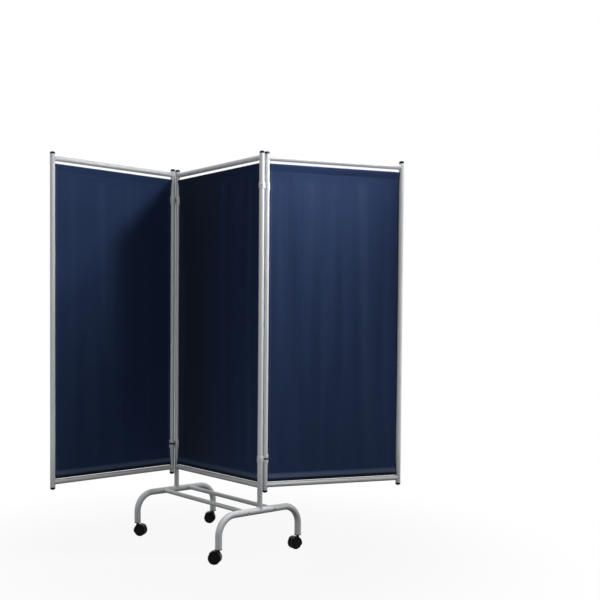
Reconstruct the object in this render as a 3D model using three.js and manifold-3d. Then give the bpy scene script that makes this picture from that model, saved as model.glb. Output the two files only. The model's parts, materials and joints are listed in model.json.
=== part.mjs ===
import * as THREE from 'three';
import { mergeVertices } from 'three/addons/utils/BufferGeometryUtils.js';
import Module from 'manifold-3d';

// A ward privacy screen on wheels: three curtained tube panels, hinged in a zigzag,
// the middle one standing on two bent leg tubes with four twin-wheel casters.
// Lengths are millimetres. +Z is up, the floor is at zero and the middle panel lies along X.

// Panels
const panelHeight = 1435;
const panelPitch = 628;
const panelLift = 58;
const topRailDrop = 28;
const bottomRailRise = 33;
const postRadius = 11;
const postWall = 1.2;
const capShoulder = 5;
const capDome = 6;
const capShank = 16;

// Curtains and the rods that stretch them
const rodRadius = 4;
const rodWall = 1;
const rodEngagement = 4;
const clothThickness = 1;
const topGap = 10.5;
const bottomGap = 2;
const hemDepth = 36;
const middleFoldDepth = 2;
const wingFoldDepth = 1.5;
const foldSpacing = 96;
const curtainColumnWidth = 24;
const curtainRowHeight = 320;

// Hinged corners
const postGap = 5;
const leftWingAngle = 92.95;
const rightWingAngle = 69.8;
const hingeInset = 145;
const bracketHeight = 26;
const bracketWall = 2.2;
const notchHeight = 8;
const webWidth = 12;
const beadProud = 1.2;

// Base
const legRadius = 14.3;
const legWall = 1.5;
const legStraight = 50.5;
const legBendRadius = 80;
const barStraight = 269;
const spigotHeight = 60;
const spigotWall = 1.5;
const crossRadius = 9.5;
const crossWall = 1.2;
const crossSpacing = 140;
const boltRadius = 3;
const boltBite = 10;
const plugEnd = 4;
const boltHeadRadius = 5.5;
const boltHeadHeight = 3.5;
const boltSocketRadius = 2.6;
const boltSocketFloor = 1.5;

// Casters
const wheelRadius = 26;
const wheelWidth = 15;
const wheelChamfer = 2;
const wheelDish = 2;
const wheelRim = 5;
const wheelHub = 8;
const axleRadius = 3;
const axleProud = 0.8;
const trail = 16;
const webThickness = 4;
const hoodThickness = 1.8;
const hoodSideLap = 0.9;
const hoodStartAngle = 40;
const hoodEndAngle = 200;
const neckRadius = 6;
const casterHeadroom = 3.6;
const stemRadius = 4;
const socketFlange = 3;
const socketDepth = 25;
const socketRoof = 5;
const flangeProud = 0.8;
const casterTurns = { left_front: 35, left_rear: 230, right_front: 222, right_rear: 262 };

// Clearances between separate pieces, and one overrun for every cut
const fitGap = 0.3;
const runGap = 0.5;
const hoodGap = 1;
const curtainClearance = 1.1;
const overrun = 5;
const seam = 0.001;

// Faceting
const tubeSides = 12;
const rodSides = 8;
const smallSides = 12;
const wheelSides = 20;
const bendSteps = 6;
const arcSteps = 6;
const domeSteps = 3;
const pocketSteps = 4;

const silverPaint = new THREE.MeshStandardMaterial({ color: 0xb9bcc0, roughness: 0.45, metalness: 0.35 });
const zincSteel = new THREE.MeshStandardMaterial({ color: 0xd0d2d4, roughness: 0.3, metalness: 0.9 });
const navyVinyl = new THREE.MeshStandardMaterial({ color: 0x1b2947, roughness: 0.75, metalness: 0 });
const blackPlastic = new THREE.MeshStandardMaterial({ color: 0x151516, roughness: 0.5, metalness: 0 });
const blackRubber = new THREE.MeshStandardMaterial({ color: 0x1c1c1d, roughness: 0.8, metalness: 0 });

const wasm = await Module();
wasm.setup();

// Solids: three.js geometry in, three.js geometry out, with manifold cuts and joins between
function solidOf(geometry) {
  const bare = geometry.clone();
  bare.deleteAttribute('normal');
  bare.deleteAttribute('uv');
  const merged = mergeVertices(bare, seam);
  const points = merged.attributes.position.array;
  const faces = [];
  let volume = 0;
  for (let i = 0; i < merged.index.count; i += 3) {
    const [a, b, c] = merged.index.array.slice(i, i + 3);
    if (a === b || b === c || c === a) continue;
    faces.push([a, b, c]);
    const [p, q, r] = [a, b, c].map((v) => new THREE.Vector3().fromArray(points, 3 * v));
    volume += p.dot(q.cross(r));
  }
  const outward = volume > 0 ? faces : faces.map(([a, b, c]) => [a, c, b]);
  return new wasm.Manifold(new wasm.Mesh({
    numProp: 3,
    vertProperties: new Float32Array(points),
    triVerts: new Uint32Array(outward.flat()),
  }));
}

function geometryOf(solid) {
  const mesh = solid.getMesh();
  const geometry = new THREE.BufferGeometry();
  geometry.setAttribute('position', new THREE.BufferAttribute(new Float32Array(mesh.vertProperties), 3));
  geometry.setIndex(new THREE.BufferAttribute(new Uint32Array(mesh.triVerts), 1));
  geometry.computeVertexNormals();
  return geometry;
}

function join(...pieces) {
  return geometryOf(pieces.map(solidOf).reduce((sum, next) => sum.add(next)));
}

function cut(body, ...tools) {
  return geometryOf(tools.map(solidOf).reduce((left, tool) => left.subtract(tool), solidOf(body)));
}

// Turned shapes stand on the Z axis, from an outline of [radius, height] points
function turned(outline, sides) {
  const points = outline.map(([radius, height]) => new THREE.Vector2(radius, height));
  return geometryOf(solidOf(new THREE.LatheGeometry(points, sides).rotateX(Math.PI / 2)));
}

function bar(radius, from, to, sides) {
  return turned([[0, from], [radius, from], [radius, to], [0, to]], sides);
}

function pipe(radius, wall, from, to, sides) {
  const bore = radius - wall;
  return turned([[bore, from], [radius, from], [radius, to], [bore, to], [bore, from]], sides);
}

function alongX(geometry) {
  return geometry.rotateY(Math.PI / 2);
}

function alongY(geometry) {
  return geometry.rotateX(Math.PI / 2);
}

function addPart(group, name, geometry, material) {
  const mesh = new THREE.Mesh(geometry, material);
  mesh.name = name;
  group.add(mesh);
}

// Heights and radii that the base, the casters and the panels share
const wheelCorner = wheelRadius / Math.cos(Math.PI / wheelSides);
const hoodInner = wheelCorner + hoodGap;
const hoodOuter = hoodInner + hoodThickness;
const flangeBottom = wheelRadius + hoodOuter + casterHeadroom;
const flangeTop = flangeBottom + socketFlange;
const legBottom = flangeTop + fitGap;
const barHeight = legBottom + legStraight + legBendRadius;
const legSpacing = barStraight + 2 * legBendRadius;
const wingBottom = barHeight + legRadius + panelLift;
const totalHeight = wingBottom + panelHeight;
const capHeight = capShoulder + capDome;
const tubeTop = totalHeight - capHeight - fitGap;
const wingTubeBottom = wingBottom + capHeight + fitGap;
const topRailHeight = totalHeight - topRailDrop;
const bottomRailHeight = wingBottom + bottomRailRise;
const hingePitch = 2 * postRadius + postGap;
const collarBore = (postRadius + fitGap) / Math.cos(Math.PI / tubeSides);
const collarRadius = collarBore + bracketWall;
const hingeHeights = { upper: totalHeight - hingeInset, lower: wingBottom + hingeInset };
const pocketRadius = rodRadius + fitGap + clothThickness;
const curtainTop = topRailHeight - postRadius - topGap;
const curtainBottom = bottomRailHeight + postRadius + bottomGap;
const rodHeights = { top: curtainTop - pocketRadius, bottom: curtainBottom + pocketRadius };
const curtainStart = collarRadius + curtainClearance;
const curtainWidth = panelPitch - 2 * curtainStart;

// A post is a tube with a round hole for each curtain rod's end
function makePost(from, holeSide) {
  const holeRadius = rodRadius + fitGap;
  const tools = Object.values(rodHeights).map((height) => {
    const drill = alongX(bar(holeRadius, 0, postRadius + overrun, rodSides));
    if (holeSide < 0) drill.rotateZ(Math.PI);
    return drill.translate(0, 0, height);
  });
  return cut(pipe(postRadius, postWall, from, tubeTop, tubeSides), ...tools);
}

// The inner post of a wing has a welded bead at each hinge, which the bracket's two collars hold
function addBeads(post) {
  const beads = Object.values(hingeHeights).map((height) => {
    const half = notchHeight / 2 - runGap;
    return pipe(postRadius + beadProud, beadProud + postWall / 2, height - half, height + half, tubeSides);
  });
  return join(post, ...beads);
}

// The foot of a middle post is coped to sit on its leg tube
function copeFoot(post) {
  const saddle = alongY(bar(legRadius + fitGap, -legSpacing, legSpacing, tubeSides));
  return cut(post, saddle.translate(0, 0, barHeight));
}

// A rail's ends are coped round both posts
function makeRail(height) {
  const rail = alongX(pipe(postRadius, postWall, 0, panelPitch, tubeSides)).translate(0, 0, height);
  const copes = [0, panelPitch].map((x) => {
    const reach = postRadius + overrun;
    return bar(postRadius + fitGap, height - reach, height + reach, tubeSides).translate(x, 0, 0);
  });
  return cut(rail, ...copes);
}

function makeRod(height) {
  const start = postRadius - rodEngagement;
  const rod = pipe(rodRadius, rodWall, start, panelPitch - start, rodSides);
  return alongX(rod).translate(0, 0, height);
}

// The cloth between the hems hangs in shallow upright folds that die out towards both rods
function foldAt(across, up, turn, depth) {
  const hold = Math.sin(Math.PI * THREE.MathUtils.clamp(up, 0, 1)) ** 2;
  const folds = curtainWidth / foldSpacing;
  const main = Math.sin(2 * Math.PI * folds * across + turn);
  const slow = Math.sin(Math.PI * folds * across + 2 * turn + up);
  return depth * hold * (2 * main + slow) / 3;
}

// A curtain's section: a loop of cloth over each rod, closing to a double layer at the hem's seam,
// and a single layer between the seams. Its points run up the near side and down the far side
function curtainSection(clothBottom, clothTop) {
  const arc = (radius, height, from) => {
    const points = [];
    for (let i = 0; i <= pocketSteps; i += 1) {
      const angle = from + Math.PI * i / pocketSteps;
      points.push(new THREE.Vector2(radius * Math.cos(angle), height + radius * Math.sin(angle)));
    }
    return points;
  };
  const rows = Math.round((clothTop - clothBottom) / curtainRowHeight);
  const side = [new THREE.Vector2(clothThickness, clothBottom - clothThickness)];
  for (let i = 0; i <= rows; i += 1) {
    side.push(new THREE.Vector2(clothThickness / 2, clothBottom + (clothTop - clothBottom) * i / rows));
  }
  side.push(new THREE.Vector2(clothThickness, clothTop + clothThickness));
  const farSide = side.map((point) => new THREE.Vector2(-point.x, point.y)).reverse();
  const over = arc(pocketRadius, rodHeights.top, 0);
  const under = arc(pocketRadius, rodHeights.bottom, Math.PI);
  const shape = new THREE.Shape([...side, ...over, ...farSide, ...under]);
  const inside = rodRadius + fitGap;
  const upperClosing = new THREE.Vector2(0, clothTop + 2 * clothThickness);
  const lowerClosing = new THREE.Vector2(0, clothBottom - 2 * clothThickness);
  shape.holes.push(new THREE.Path([...arc(inside, rodHeights.top, 0), upperClosing]));
  shape.holes.push(new THREE.Path([...arc(inside, rodHeights.bottom, Math.PI), lowerClosing]));
  return shape;
}

function makeCurtain(turn, foldDepth) {
  const clothBottom = curtainBottom + hemDepth - clothThickness;
  const clothTop = curtainTop - hemDepth + clothThickness;
  const steps = Math.round(curtainWidth / curtainColumnWidth);
  const section = curtainSection(clothBottom, clothTop);
  const curtain = new THREE.ExtrudeGeometry(section, { depth: curtainWidth, steps, bevelEnabled: false });
  curtain.rotateX(Math.PI / 2).rotateZ(Math.PI / 2);
  const place = curtain.attributes.position;
  for (let i = 0; i < place.count; i += 1) {
    const across = place.getX(i) / curtainWidth;
    const up = (place.getZ(i) - clothBottom) / (clothTop - clothBottom);
    place.setY(i, place.getY(i) + foldAt(across, up, turn, foldDepth));
  }
  return geometryOf(solidOf(curtain.translate(curtainStart, 0, 0)));
}

// A domed plug closes each open tube end: a shank inside the tube and a head on its rim
function makeCap(turnedDown) {
  const shank = postRadius - postWall - fitGap;
  const dome = [];
  for (let i = 0; i < domeSteps; i += 1) {
    const angle = Math.PI / 2 * i / domeSteps;
    dome.push([postRadius * Math.cos(angle), capShoulder + capDome * Math.sin(angle)]);
  }
  dome.push([0, capHeight]);
  const cap = turned([[0, -capShank], [shank, -capShank], [shank, 0], [postRadius, 0], ...dome], tubeSides);
  return turnedDown ? cap.rotateX(Math.PI) : cap;
}

// One panel in its own frame: the inner post on the Z axis, the outer post one pitch along X
function makePanel(side, postNames, turn) {
  const panel = new THREE.Group();
  const standing = side === 'middle';
  postNames.forEach((postName, index) => {
    const x = index * panelPitch;
    const from = standing ? barHeight : wingTubeBottom;
    let post = makePost(from, index === 0 ? 1 : -1);
    if (standing) post = copeFoot(post);
    if (!standing && index === 0) post = addBeads(post);
    addPart(panel, `${postName}_post`, post.translate(x, 0, 0), silverPaint);
    const topCap = makeCap(false).translate(x, 0, totalHeight - capHeight);
    addPart(panel, `${postName}_top_cap`, topCap, blackPlastic);
    if (standing) return;
    const bottomCap = makeCap(true).translate(x, 0, wingBottom + capHeight);
    addPart(panel, `${postName}_bottom_cap`, bottomCap, blackPlastic);
  });
  addPart(panel, `${side}_top_rail`, makeRail(topRailHeight), silverPaint);
  addPart(panel, `${side}_bottom_rail`, makeRail(bottomRailHeight), silverPaint);
  addPart(panel, `${side}_top_rod`, makeRod(rodHeights.top), zincSteel);
  addPart(panel, `${side}_bottom_rod`, makeRod(rodHeights.bottom), zincSteel);
  const curtain = makeCurtain(turn, standing ? middleFoldDepth : wingFoldDepth);
  addPart(panel, `${side}_curtain`, curtain, navyVinyl);
  return panel;
}

// A bracket clamps the middle post and holds the wing's post in two collars with a notch between;
// its own frame has the middle post on the Z axis and the wing's post one hinge pitch along Y
function makeBracket() {
  const half = bracketHeight / 2;
  const clampRadius = postRadius + fitGap;
  const clamp = bar(clampRadius + bracketWall, -half, half, tubeSides);
  const collars = bar(collarRadius, -half, half, tubeSides).translate(0, hingePitch, 0);
  const web = new THREE.BoxGeometry(webWidth, hingePitch, bracketHeight).translate(0, hingePitch / 2, 0);
  const far = half + overrun;
  const notch = pipe(collarRadius + fitGap, collarRadius, -notchHeight / 2, notchHeight / 2, tubeSides);
  return cut(
    join(clamp, collars, web),
    bar(clampRadius, -far, far, tubeSides),
    bar(collarBore, -far, far, tubeSides).translate(0, hingePitch, 0),
    notch.translate(0, hingePitch, 0),
  );
}

// The centre line of a bent leg tube, up one leg, across and down the other, with its
// parameter counted in stations so that the rings fall on the bends
class LegLine extends THREE.Curve {
  getUtoTmapping(u) {
    return u;
  }

  getPoint(t) {
    const stations = 2 * bendSteps + 3;
    const half = legSpacing / 2;
    const side = t < 1 / 2 ? -1 : 1;
    const along = Math.min(t, 1 - t) * stations;
    const springing = barHeight - legBendRadius;
    if (along < 1) {
      return new THREE.Vector3(0, side * half, legBottom + (springing - legBottom) * along);
    }
    if (along < bendSteps + 1) {
      const angle = Math.PI / 2 * (along - 1) / bendSteps;
      const inset = legBendRadius * (1 - Math.cos(angle));
      return new THREE.Vector3(0, side * (half - inset), springing + legBendRadius * Math.sin(angle));
    }
    const middle = (along - bendSteps - 1) * 2;
    return new THREE.Vector3(0, side * (half - legBendRadius) * (1 - middle), barHeight);
  }
}

function ring(radius, sides) {
  const points = [];
  for (let i = 0; i < sides; i += 1) {
    const angle = 2 * Math.PI * i / sides;
    points.push(new THREE.Vector2(radius * Math.cos(angle), radius * Math.sin(angle)));
  }
  return points;
}

// A leg frame is one bent tube with a spigot welded on for the middle post
function makeLegFrame() {
  const section = new THREE.Shape(ring(legRadius, tubeSides));
  section.holes.push(new THREE.Path(ring(legRadius - legWall, tubeSides)));
  const steps = 2 * bendSteps + 3;
  const tube = new THREE.ExtrudeGeometry(section, { steps, bevelEnabled: false, extrudePath: new LegLine() });
  const spigotRadius = postRadius - postWall - fitGap;
  const spigot = pipe(spigotRadius, spigotWall, barHeight, barHeight + legRadius + spigotHeight, tubeSides);
  const drills = [-1, 1].map((side) => {
    const drill = alongX(bar(boltRadius + fitGap, -legRadius - overrun, legRadius + overrun, smallSides));
    return drill.translate(0, side * crossSpacing / 2, barHeight);
  });
  return cut(join(tube, spigot), ...drills);
}

// A cross tube is coped to both leg tubes, with a nut plug in each end for its bolt
function makeCrossTube() {
  const half = panelPitch / 2;
  const outside = alongX(bar(crossRadius, -half, half, tubeSides));
  const innerEnd = half - legRadius - fitGap - boltBite - plugEnd;
  const hollow = alongX(bar(crossRadius - crossWall, -innerEnd, innerEnd, tubeSides));
  const drill = alongX(bar(boltRadius + fitGap, -half - overrun, half + overrun, smallSides));
  const copes = [-1, 1].map((side) => {
    const cope = alongY(bar(legRadius + fitGap, -crossRadius - overrun, crossRadius + overrun, tubeSides));
    return cope.translate(side * half, 0, 0);
  });
  return cut(outside, hollow, drill, ...copes);
}

// A socket-head bolt along X, its head against the outer face of the leg tube
function makeBolt() {
  const seat = legRadius + fitGap;
  const crown = seat + boltHeadHeight;
  const tip = -legRadius - fitGap - boltBite;
  return alongX(turned([
    [0, tip],
    [boltRadius, tip],
    [boltRadius, seat],
    [boltHeadRadius, seat],
    [boltHeadRadius, crown],
    [boltSocketRadius, crown],
    [boltSocketRadius, seat + boltSocketFloor],
    [0, seat + boltSocketFloor],
  ], smallSides));
}

// Caster pieces in the swivel's own frame: the stem on the Z axis, the wheels one trail along X
const boreTop = flangeBottom + socketDepth - socketRoof;

function makeSocket() {
  const shank = legRadius - legWall - fitGap;
  const bore = (stemRadius + fitGap) / Math.cos(Math.PI / smallSides);
  return turned([
    [0, boreTop],
    [bore, boreTop],
    [bore, flangeBottom],
    [legRadius + flangeProud, flangeBottom],
    [legRadius + flangeProud, flangeTop],
    [shank, flangeTop],
    [shank, flangeBottom + socketDepth],
    [0, flangeBottom + socketDepth],
  ], tubeSides);
}

function wheelPlace(geometry) {
  return geometry.translate(trail, 0, wheelRadius);
}

const wheelCentre = webThickness / 2 + runGap + wheelWidth / 2;
const hoodHalf = wheelCentre + wheelWidth / 2 + hoodSideLap;

function makeHood() {
  const [from, to] = [hoodStartAngle, hoodEndAngle].map(THREE.MathUtils.degToRad);
  const sector = (radius) => {
    const shape = new THREE.Shape();
    shape.moveTo(0, 0);
    for (let i = 0; i <= arcSteps; i += 1) {
      const angle = from + (to - from) * i / arcSteps;
      shape.lineTo(radius * Math.cos(angle), radius * Math.sin(angle));
    }
    return shape;
  };
  const slab = (shape, half) => {
    const plate = new THREE.ExtrudeGeometry(shape, { depth: 2 * half, bevelEnabled: false });
    return wheelPlace(plate.translate(0, 0, -half).rotateX(Math.PI / 2));
  };
  const neck = bar(neckRadius, wheelRadius, flangeBottom - fitGap, smallSides);
  const room = alongY(bar(hoodInner, -hoodHalf - overrun, hoodHalf + overrun, wheelSides));
  const shell = cut(join(slab(sector(hoodOuter), hoodHalf), neck), wheelPlace(room));
  const web = slab(sector(hoodInner + hoodThickness / 2), webThickness / 2);
  const boss = wheelPlace(alongY(bar(wheelHub, -webThickness / 2, webThickness / 2, smallSides)));
  const axleHalf = wheelCentre + wheelWidth / 2 + axleProud;
  const axle = wheelPlace(alongY(bar(axleRadius, -axleHalf, axleHalf, smallSides)));
  const stem = bar(stemRadius, flangeBottom - neckRadius, boreTop - fitGap, smallSides);
  return join(shell, web, boss, axle, stem);
}

function makeWheel(side) {
  const half = wheelWidth / 2;
  const bore = (axleRadius + fitGap) / Math.cos(Math.PI / smallSides);
  const rim = wheelCorner - wheelRim;
  const tread = half - wheelChamfer;
  const dish = half - wheelDish;
  const wheel = turned([
    [bore, -half],
    [wheelCorner - wheelChamfer, -half],
    [wheelCorner, -tread],
    [wheelCorner, tread],
    [wheelCorner - wheelChamfer, half],
    [rim, half],
    [wheelHub, dish],
    [bore, half],
    [bore, -half],
  ], wheelSides);
  wheel.rotateZ(Math.PI / wheelSides).rotateX(-side * Math.PI / 2);
  return wheelPlace(wheel.translate(0, side * wheelCentre, 0));
}

function makeCaster(name, turn) {
  const caster = new THREE.Group();
  addPart(caster, `${name}_caster_fork`, makeHood(), blackPlastic);
  addPart(caster, `${name}_inboard_wheel`, makeWheel(-1), blackRubber);
  addPart(caster, `${name}_outboard_wheel`, makeWheel(1), blackRubber);
  caster.rotation.z = THREE.MathUtils.degToRad(turn);
  return caster;
}

// Assembly
const screen = new THREE.Group();

const middle = makePanel('middle', ['middle_left', 'middle_right'], 0);
middle.position.x = -panelPitch / 2;
screen.add(middle);

const leftWing = makePanel('left', ['left_inner', 'left_outer'], 1);
leftWing.position.set(-panelPitch / 2, -hingePitch, 0);
leftWing.rotation.z = THREE.MathUtils.degToRad(180 + leftWingAngle);
screen.add(leftWing);

const rightWing = makePanel('right', ['right_inner', 'right_outer'], 2);
rightWing.position.set(panelPitch / 2, hingePitch, 0);
rightWing.rotation.z = THREE.MathUtils.degToRad(rightWingAngle);
screen.add(rightWing);

for (const [sideName, side] of [['left', -1], ['right', 1]]) {
  for (const [levelName, height] of Object.entries(hingeHeights)) {
    const bracket = makeBracket();
    if (side < 0) bracket.rotateZ(Math.PI);
    bracket.translate(side * panelPitch / 2, 0, height);
    addPart(screen, `${sideName}_${levelName}_hinge_bracket`, bracket, silverPaint);
  }
  const end = new THREE.Group();
  end.position.x = side * panelPitch / 2;
  addPart(end, `${sideName}_leg_frame`, makeLegFrame(), silverPaint);
  for (const [rowName, row] of [['front', -1], ['rear', 1]]) {
    const corner = `${sideName}_${rowName}`;
    const bolt = makeBolt();
    if (side < 0) bolt.rotateZ(Math.PI);
    bolt.translate(0, row * crossSpacing / 2, barHeight);
    addPart(end, `${corner}_bolt`, bolt, zincSteel);
    const legPlace = row * legSpacing / 2;
    addPart(end, `${corner}_caster_socket`, makeSocket().translate(0, legPlace, 0), blackPlastic);
    const caster = makeCaster(corner, casterTurns[corner]);
    caster.position.y = legPlace;
    end.add(caster);
  }
  screen.add(end);
}

for (const [rowName, row] of [['front', -1], ['rear', 1]]) {
  const tube = makeCrossTube().translate(0, row * crossSpacing / 2, barHeight);
  addPart(screen, `${rowName}_cross_tube`, tube, silverPaint);
}

// The frame's origin is on the floor, under the middle of the whole screen as it stands
const reach = new THREE.Box3().setFromObject(screen, true).getCenter(new THREE.Vector3());
screen.position.set(-reach.x, -reach.y, 0);

export default screen;
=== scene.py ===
import json
import math

import bmesh
import bpy
from mathutils import Matrix, Vector, noise


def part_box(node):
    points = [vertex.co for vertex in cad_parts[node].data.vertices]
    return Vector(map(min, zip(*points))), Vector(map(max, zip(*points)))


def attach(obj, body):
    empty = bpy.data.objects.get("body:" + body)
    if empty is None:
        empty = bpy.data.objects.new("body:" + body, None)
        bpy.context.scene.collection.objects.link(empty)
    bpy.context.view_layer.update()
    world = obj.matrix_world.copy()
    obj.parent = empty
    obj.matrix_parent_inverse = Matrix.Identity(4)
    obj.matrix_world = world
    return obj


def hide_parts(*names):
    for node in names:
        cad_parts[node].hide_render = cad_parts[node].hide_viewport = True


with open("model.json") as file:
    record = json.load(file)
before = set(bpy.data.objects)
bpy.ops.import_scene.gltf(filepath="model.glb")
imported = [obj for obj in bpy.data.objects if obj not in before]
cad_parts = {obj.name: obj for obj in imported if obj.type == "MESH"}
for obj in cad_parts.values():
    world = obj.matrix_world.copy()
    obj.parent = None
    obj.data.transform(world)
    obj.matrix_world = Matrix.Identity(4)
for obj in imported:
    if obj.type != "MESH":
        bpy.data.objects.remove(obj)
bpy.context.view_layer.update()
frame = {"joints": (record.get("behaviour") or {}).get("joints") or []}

# A ward privacy screen: three panels of silver tube with navy curtains, hinged in a zigzag.
# The middle panel stands on two bent legs with casters. Lengths are metres.

# ---------------------------------------------------------------------------------------
# Leg frames. A 28.6 mm steel tube bent to an upside-down U, one under each end of the
# middle panel, with a short spigot welded on top where the panel's post stands.
# The whole weldment is blasted and powder coated silver.

TUBE_SIDES = 40
POST_RADIUS = 0.011
POST_WALL = 0.0012
LEG_RADIUS = 0.0143
LEG_WALL = 0.0015
LEG_STRAIGHT = 0.0505
LEG_BEND_RADIUS = 0.08
LEG_BEND_STEPS = 18
BAR_STRAIGHT = 0.269
SPIGOT_RADIUS = 0.0095
SPIGOT_TOP = 0.2668
LEG_BEAD = 0.0026
LEG_BEAD_OUT = 0.001
LEG_BEAD_RIPPLES = 34
BEAD_RIPPLE = 0.012
DOUBLED = 0.00001
STAND = "stand"
PAINT_SLOT = "silver_paint"


def linear(code):
    """An sRGB hex colour as the linear RGBA that Blender's sockets hold."""
    parts = [int(code[i:i + 2], 16) / 255 for i in (1, 3, 5)]
    return [p / 12.92 if p <= 0.04045 else ((p + 0.055) / 1.055) ** 2.4 for p in parts] + [1.0]


def new_finish(name):
    """An empty node material."""
    finish = bpy.data.materials.new(name)
    finish.use_nodes = True
    finish.node_tree.nodes.clear()
    return finish


def add_node(finish, kind, settings, links=None):
    """Adds a node. Settings are properties or sockets, links are {socket: (node, output)}."""
    node = finish.node_tree.nodes.new(kind)
    for name, value in settings.items():
        if isinstance(name, str) and hasattr(node, name):
            setattr(node, name, value)
        else:
            node.inputs[name].default_value = value
    for name, (source, output) in (links or {}).items():
        finish.node_tree.links.new(source.outputs[output], node.inputs[name])
    return node


def take(piece):
    """Leaves one piece selected and active, in object mode."""
    if bpy.context.mode != "OBJECT":
        bpy.ops.object.mode_set(mode="OBJECT")
    bpy.ops.object.select_all(action="DESELECT")
    piece.select_set(True)
    bpy.context.view_layer.objects.active = piece
    return piece


def clear_hands():
    """Deselects everything, so that an operator acts only on what is added next."""
    if bpy.context.mode != "OBJECT":
        bpy.ops.object.mode_set(mode="OBJECT")
    bpy.ops.object.select_all(action="DESELECT")
    bpy.context.tool_settings.mesh_select_mode = (True, False, False)


def edit(piece):
    """Opens one piece in edit mode."""
    take(piece)
    bpy.ops.object.mode_set(mode="EDIT")
    return piece


def pull(x, y, z):
    """Extrudes what is selected and moves it."""
    bpy.ops.mesh.extrude_region_move(TRANSFORM_OT_translate={"value": (x, y, z)})


def pick(kind, test):
    """In edit mode, selects only the vertices, edges or faces whose middle passes the test."""
    piece = bpy.context.edit_object
    bpy.ops.mesh.select_mode(type={"verts": "VERT", "edges": "EDGE", "faces": "FACE"}[kind])
    bpy.ops.mesh.select_all(action="DESELECT")
    mesh = bmesh.from_edit_mesh(piece.data)
    for part in getattr(mesh, kind):
        corners = [part.co] if kind == "verts" else [corner.co for corner in part.verts]
        part.select_set(bool(test(sum(corners, Vector()) / len(corners), part)))
    mesh.select_flush_mode()
    bmesh.update_edit_mesh(piece.data)


def bake_modifier(piece, kind, **settings):
    """Adds a modifier with its settings and applies it."""
    take(piece)
    modifier = piece.modifiers.new(kind.lower(), kind)
    for name, value in settings.items():
        setattr(modifier, name, value)
    bpy.ops.object.modifier_apply(modifier=modifier.name)
    return piece


def turn_outwards(piece, core):
    """Turns a shell's faces outwards, away from the inner points that core gives for them."""
    edit(piece)
    bpy.ops.mesh.select_all(action="SELECT")
    bpy.ops.mesh.normals_make_consistent(inside=False)
    take(piece)
    inwards = [face.normal.dot(face.center - core(face.center)) < 0 for face in piece.data.polygons]
    if sum(inwards) > len(inwards) / 2:
        edit(piece)
        bpy.ops.mesh.flip_normals()
        take(piece)
    return piece


def draw_tube(radius, wall, bottom, top, sides=TUBE_SIDES):
    """A straight tube on the Z axis: a ring drawn upwards, then given its wall."""
    clear_hands()
    bpy.ops.mesh.primitive_circle_add(vertices=sides, radius=radius, location=(0, 0, bottom))
    pipe = edit(bpy.context.object)
    pull(0, 0, top - bottom)
    settle(pipe)
    turn_outwards(pipe, lambda middle: Vector((0, 0, middle.z)))
    return bake_modifier(pipe, "SOLIDIFY", thickness=wall, offset=-1)


def settle(piece, matrix=None):
    """Puts a piece where the matrix says, with its place in its mesh."""
    if matrix is not None:
        piece.matrix_world = matrix
    take(piece)
    bpy.ops.object.transform_apply(location=True, rotation=True, scale=True)
    return piece


def twin(piece, matrix=None):
    """A copy of a piece with its own mesh."""
    other = piece.copy()
    other.data = piece.data.copy()
    bpy.context.scene.collection.objects.link(other)
    return settle(other, matrix)


def join(*pieces):
    """Joins pieces to the first one."""
    take(pieces[0])
    for piece in pieces[1:]:
        piece.select_set(True)
    bpy.ops.object.join()
    return pieces[0]


def merge(body, *tools, operation="UNION"):
    """Cuts tools out of a body, or welds them to it as one skin, and removes them."""
    for tool in tools:
        bake_modifier(body, "BOOLEAN", object=tool, operation=operation, solver="EXACT")
        bpy.data.objects.remove(tool)
    return body


def saddle_bead(branch, run, bead, ripples):
    """A weld bead where a tube on the Z axis meets a tube of radius run along Y."""
    clear_hands()
    bpy.ops.mesh.primitive_torus_add(
        major_radius=branch, minor_radius=bead, major_segments=96, minor_segments=10
    )
    weld = bpy.context.object
    for corner in weld.data.vertices:
        angle = math.atan2(corner.co.y, corner.co.x)
        away = branch * math.cos(angle)
        corner.co.x *= 1 + BEAD_RIPPLE * math.sin(ripples * angle)
        corner.co.y *= 1 + BEAD_RIPPLE * math.sin(ripples * angle)
        corner.co.z += math.sqrt(max(run * run - away * away, 0))
    return weld


def dress(piece, name, body, slot, finish, *nodes, smooth=35):
    """Names a finished piece, gives it its finish, hangs it on the body it rides on and hides the
    parts it stands for.
    """
    take(piece)
    bpy.ops.object.shade_smooth_by_angle(angle=math.radians(smooth))
    piece.name = name
    piece.data.name = name
    piece.data.materials.clear()
    piece.data.materials.append(finish)
    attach(piece, body)
    if nodes:
        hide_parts(*nodes)
    return piece


# Polyester powder coat, sprayed and baked: its aluminium flake takes up the light of the
# room evenly and broadly, over a fine orange peel and a slightly uneven film
POWDER_LIGHT = "#DADCDE"
POWDER_DARK = "#C6C8CA"
POWDER_FLAKE = "#E0E1E2"
POWDER_PATCH = 0.11
# Painted top light and painted underside shade for the tubes low on the stand, with the heights
# where they are none and full
PAINTED_TOP_LIGHT = "#F2F2F0"
PAINTED_UNDERSIDE_SHADE = "#606162"
PAINTED_SHADING_NONE = 0.46
PAINTED_SHADING_FULL = 0.27
# Orange peel is about 1 mm across and the flake far finer; both are drawn coarser to show
POWDER_PEEL = 0.0026
POWDER_GRAIN = 0.0014

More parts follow.
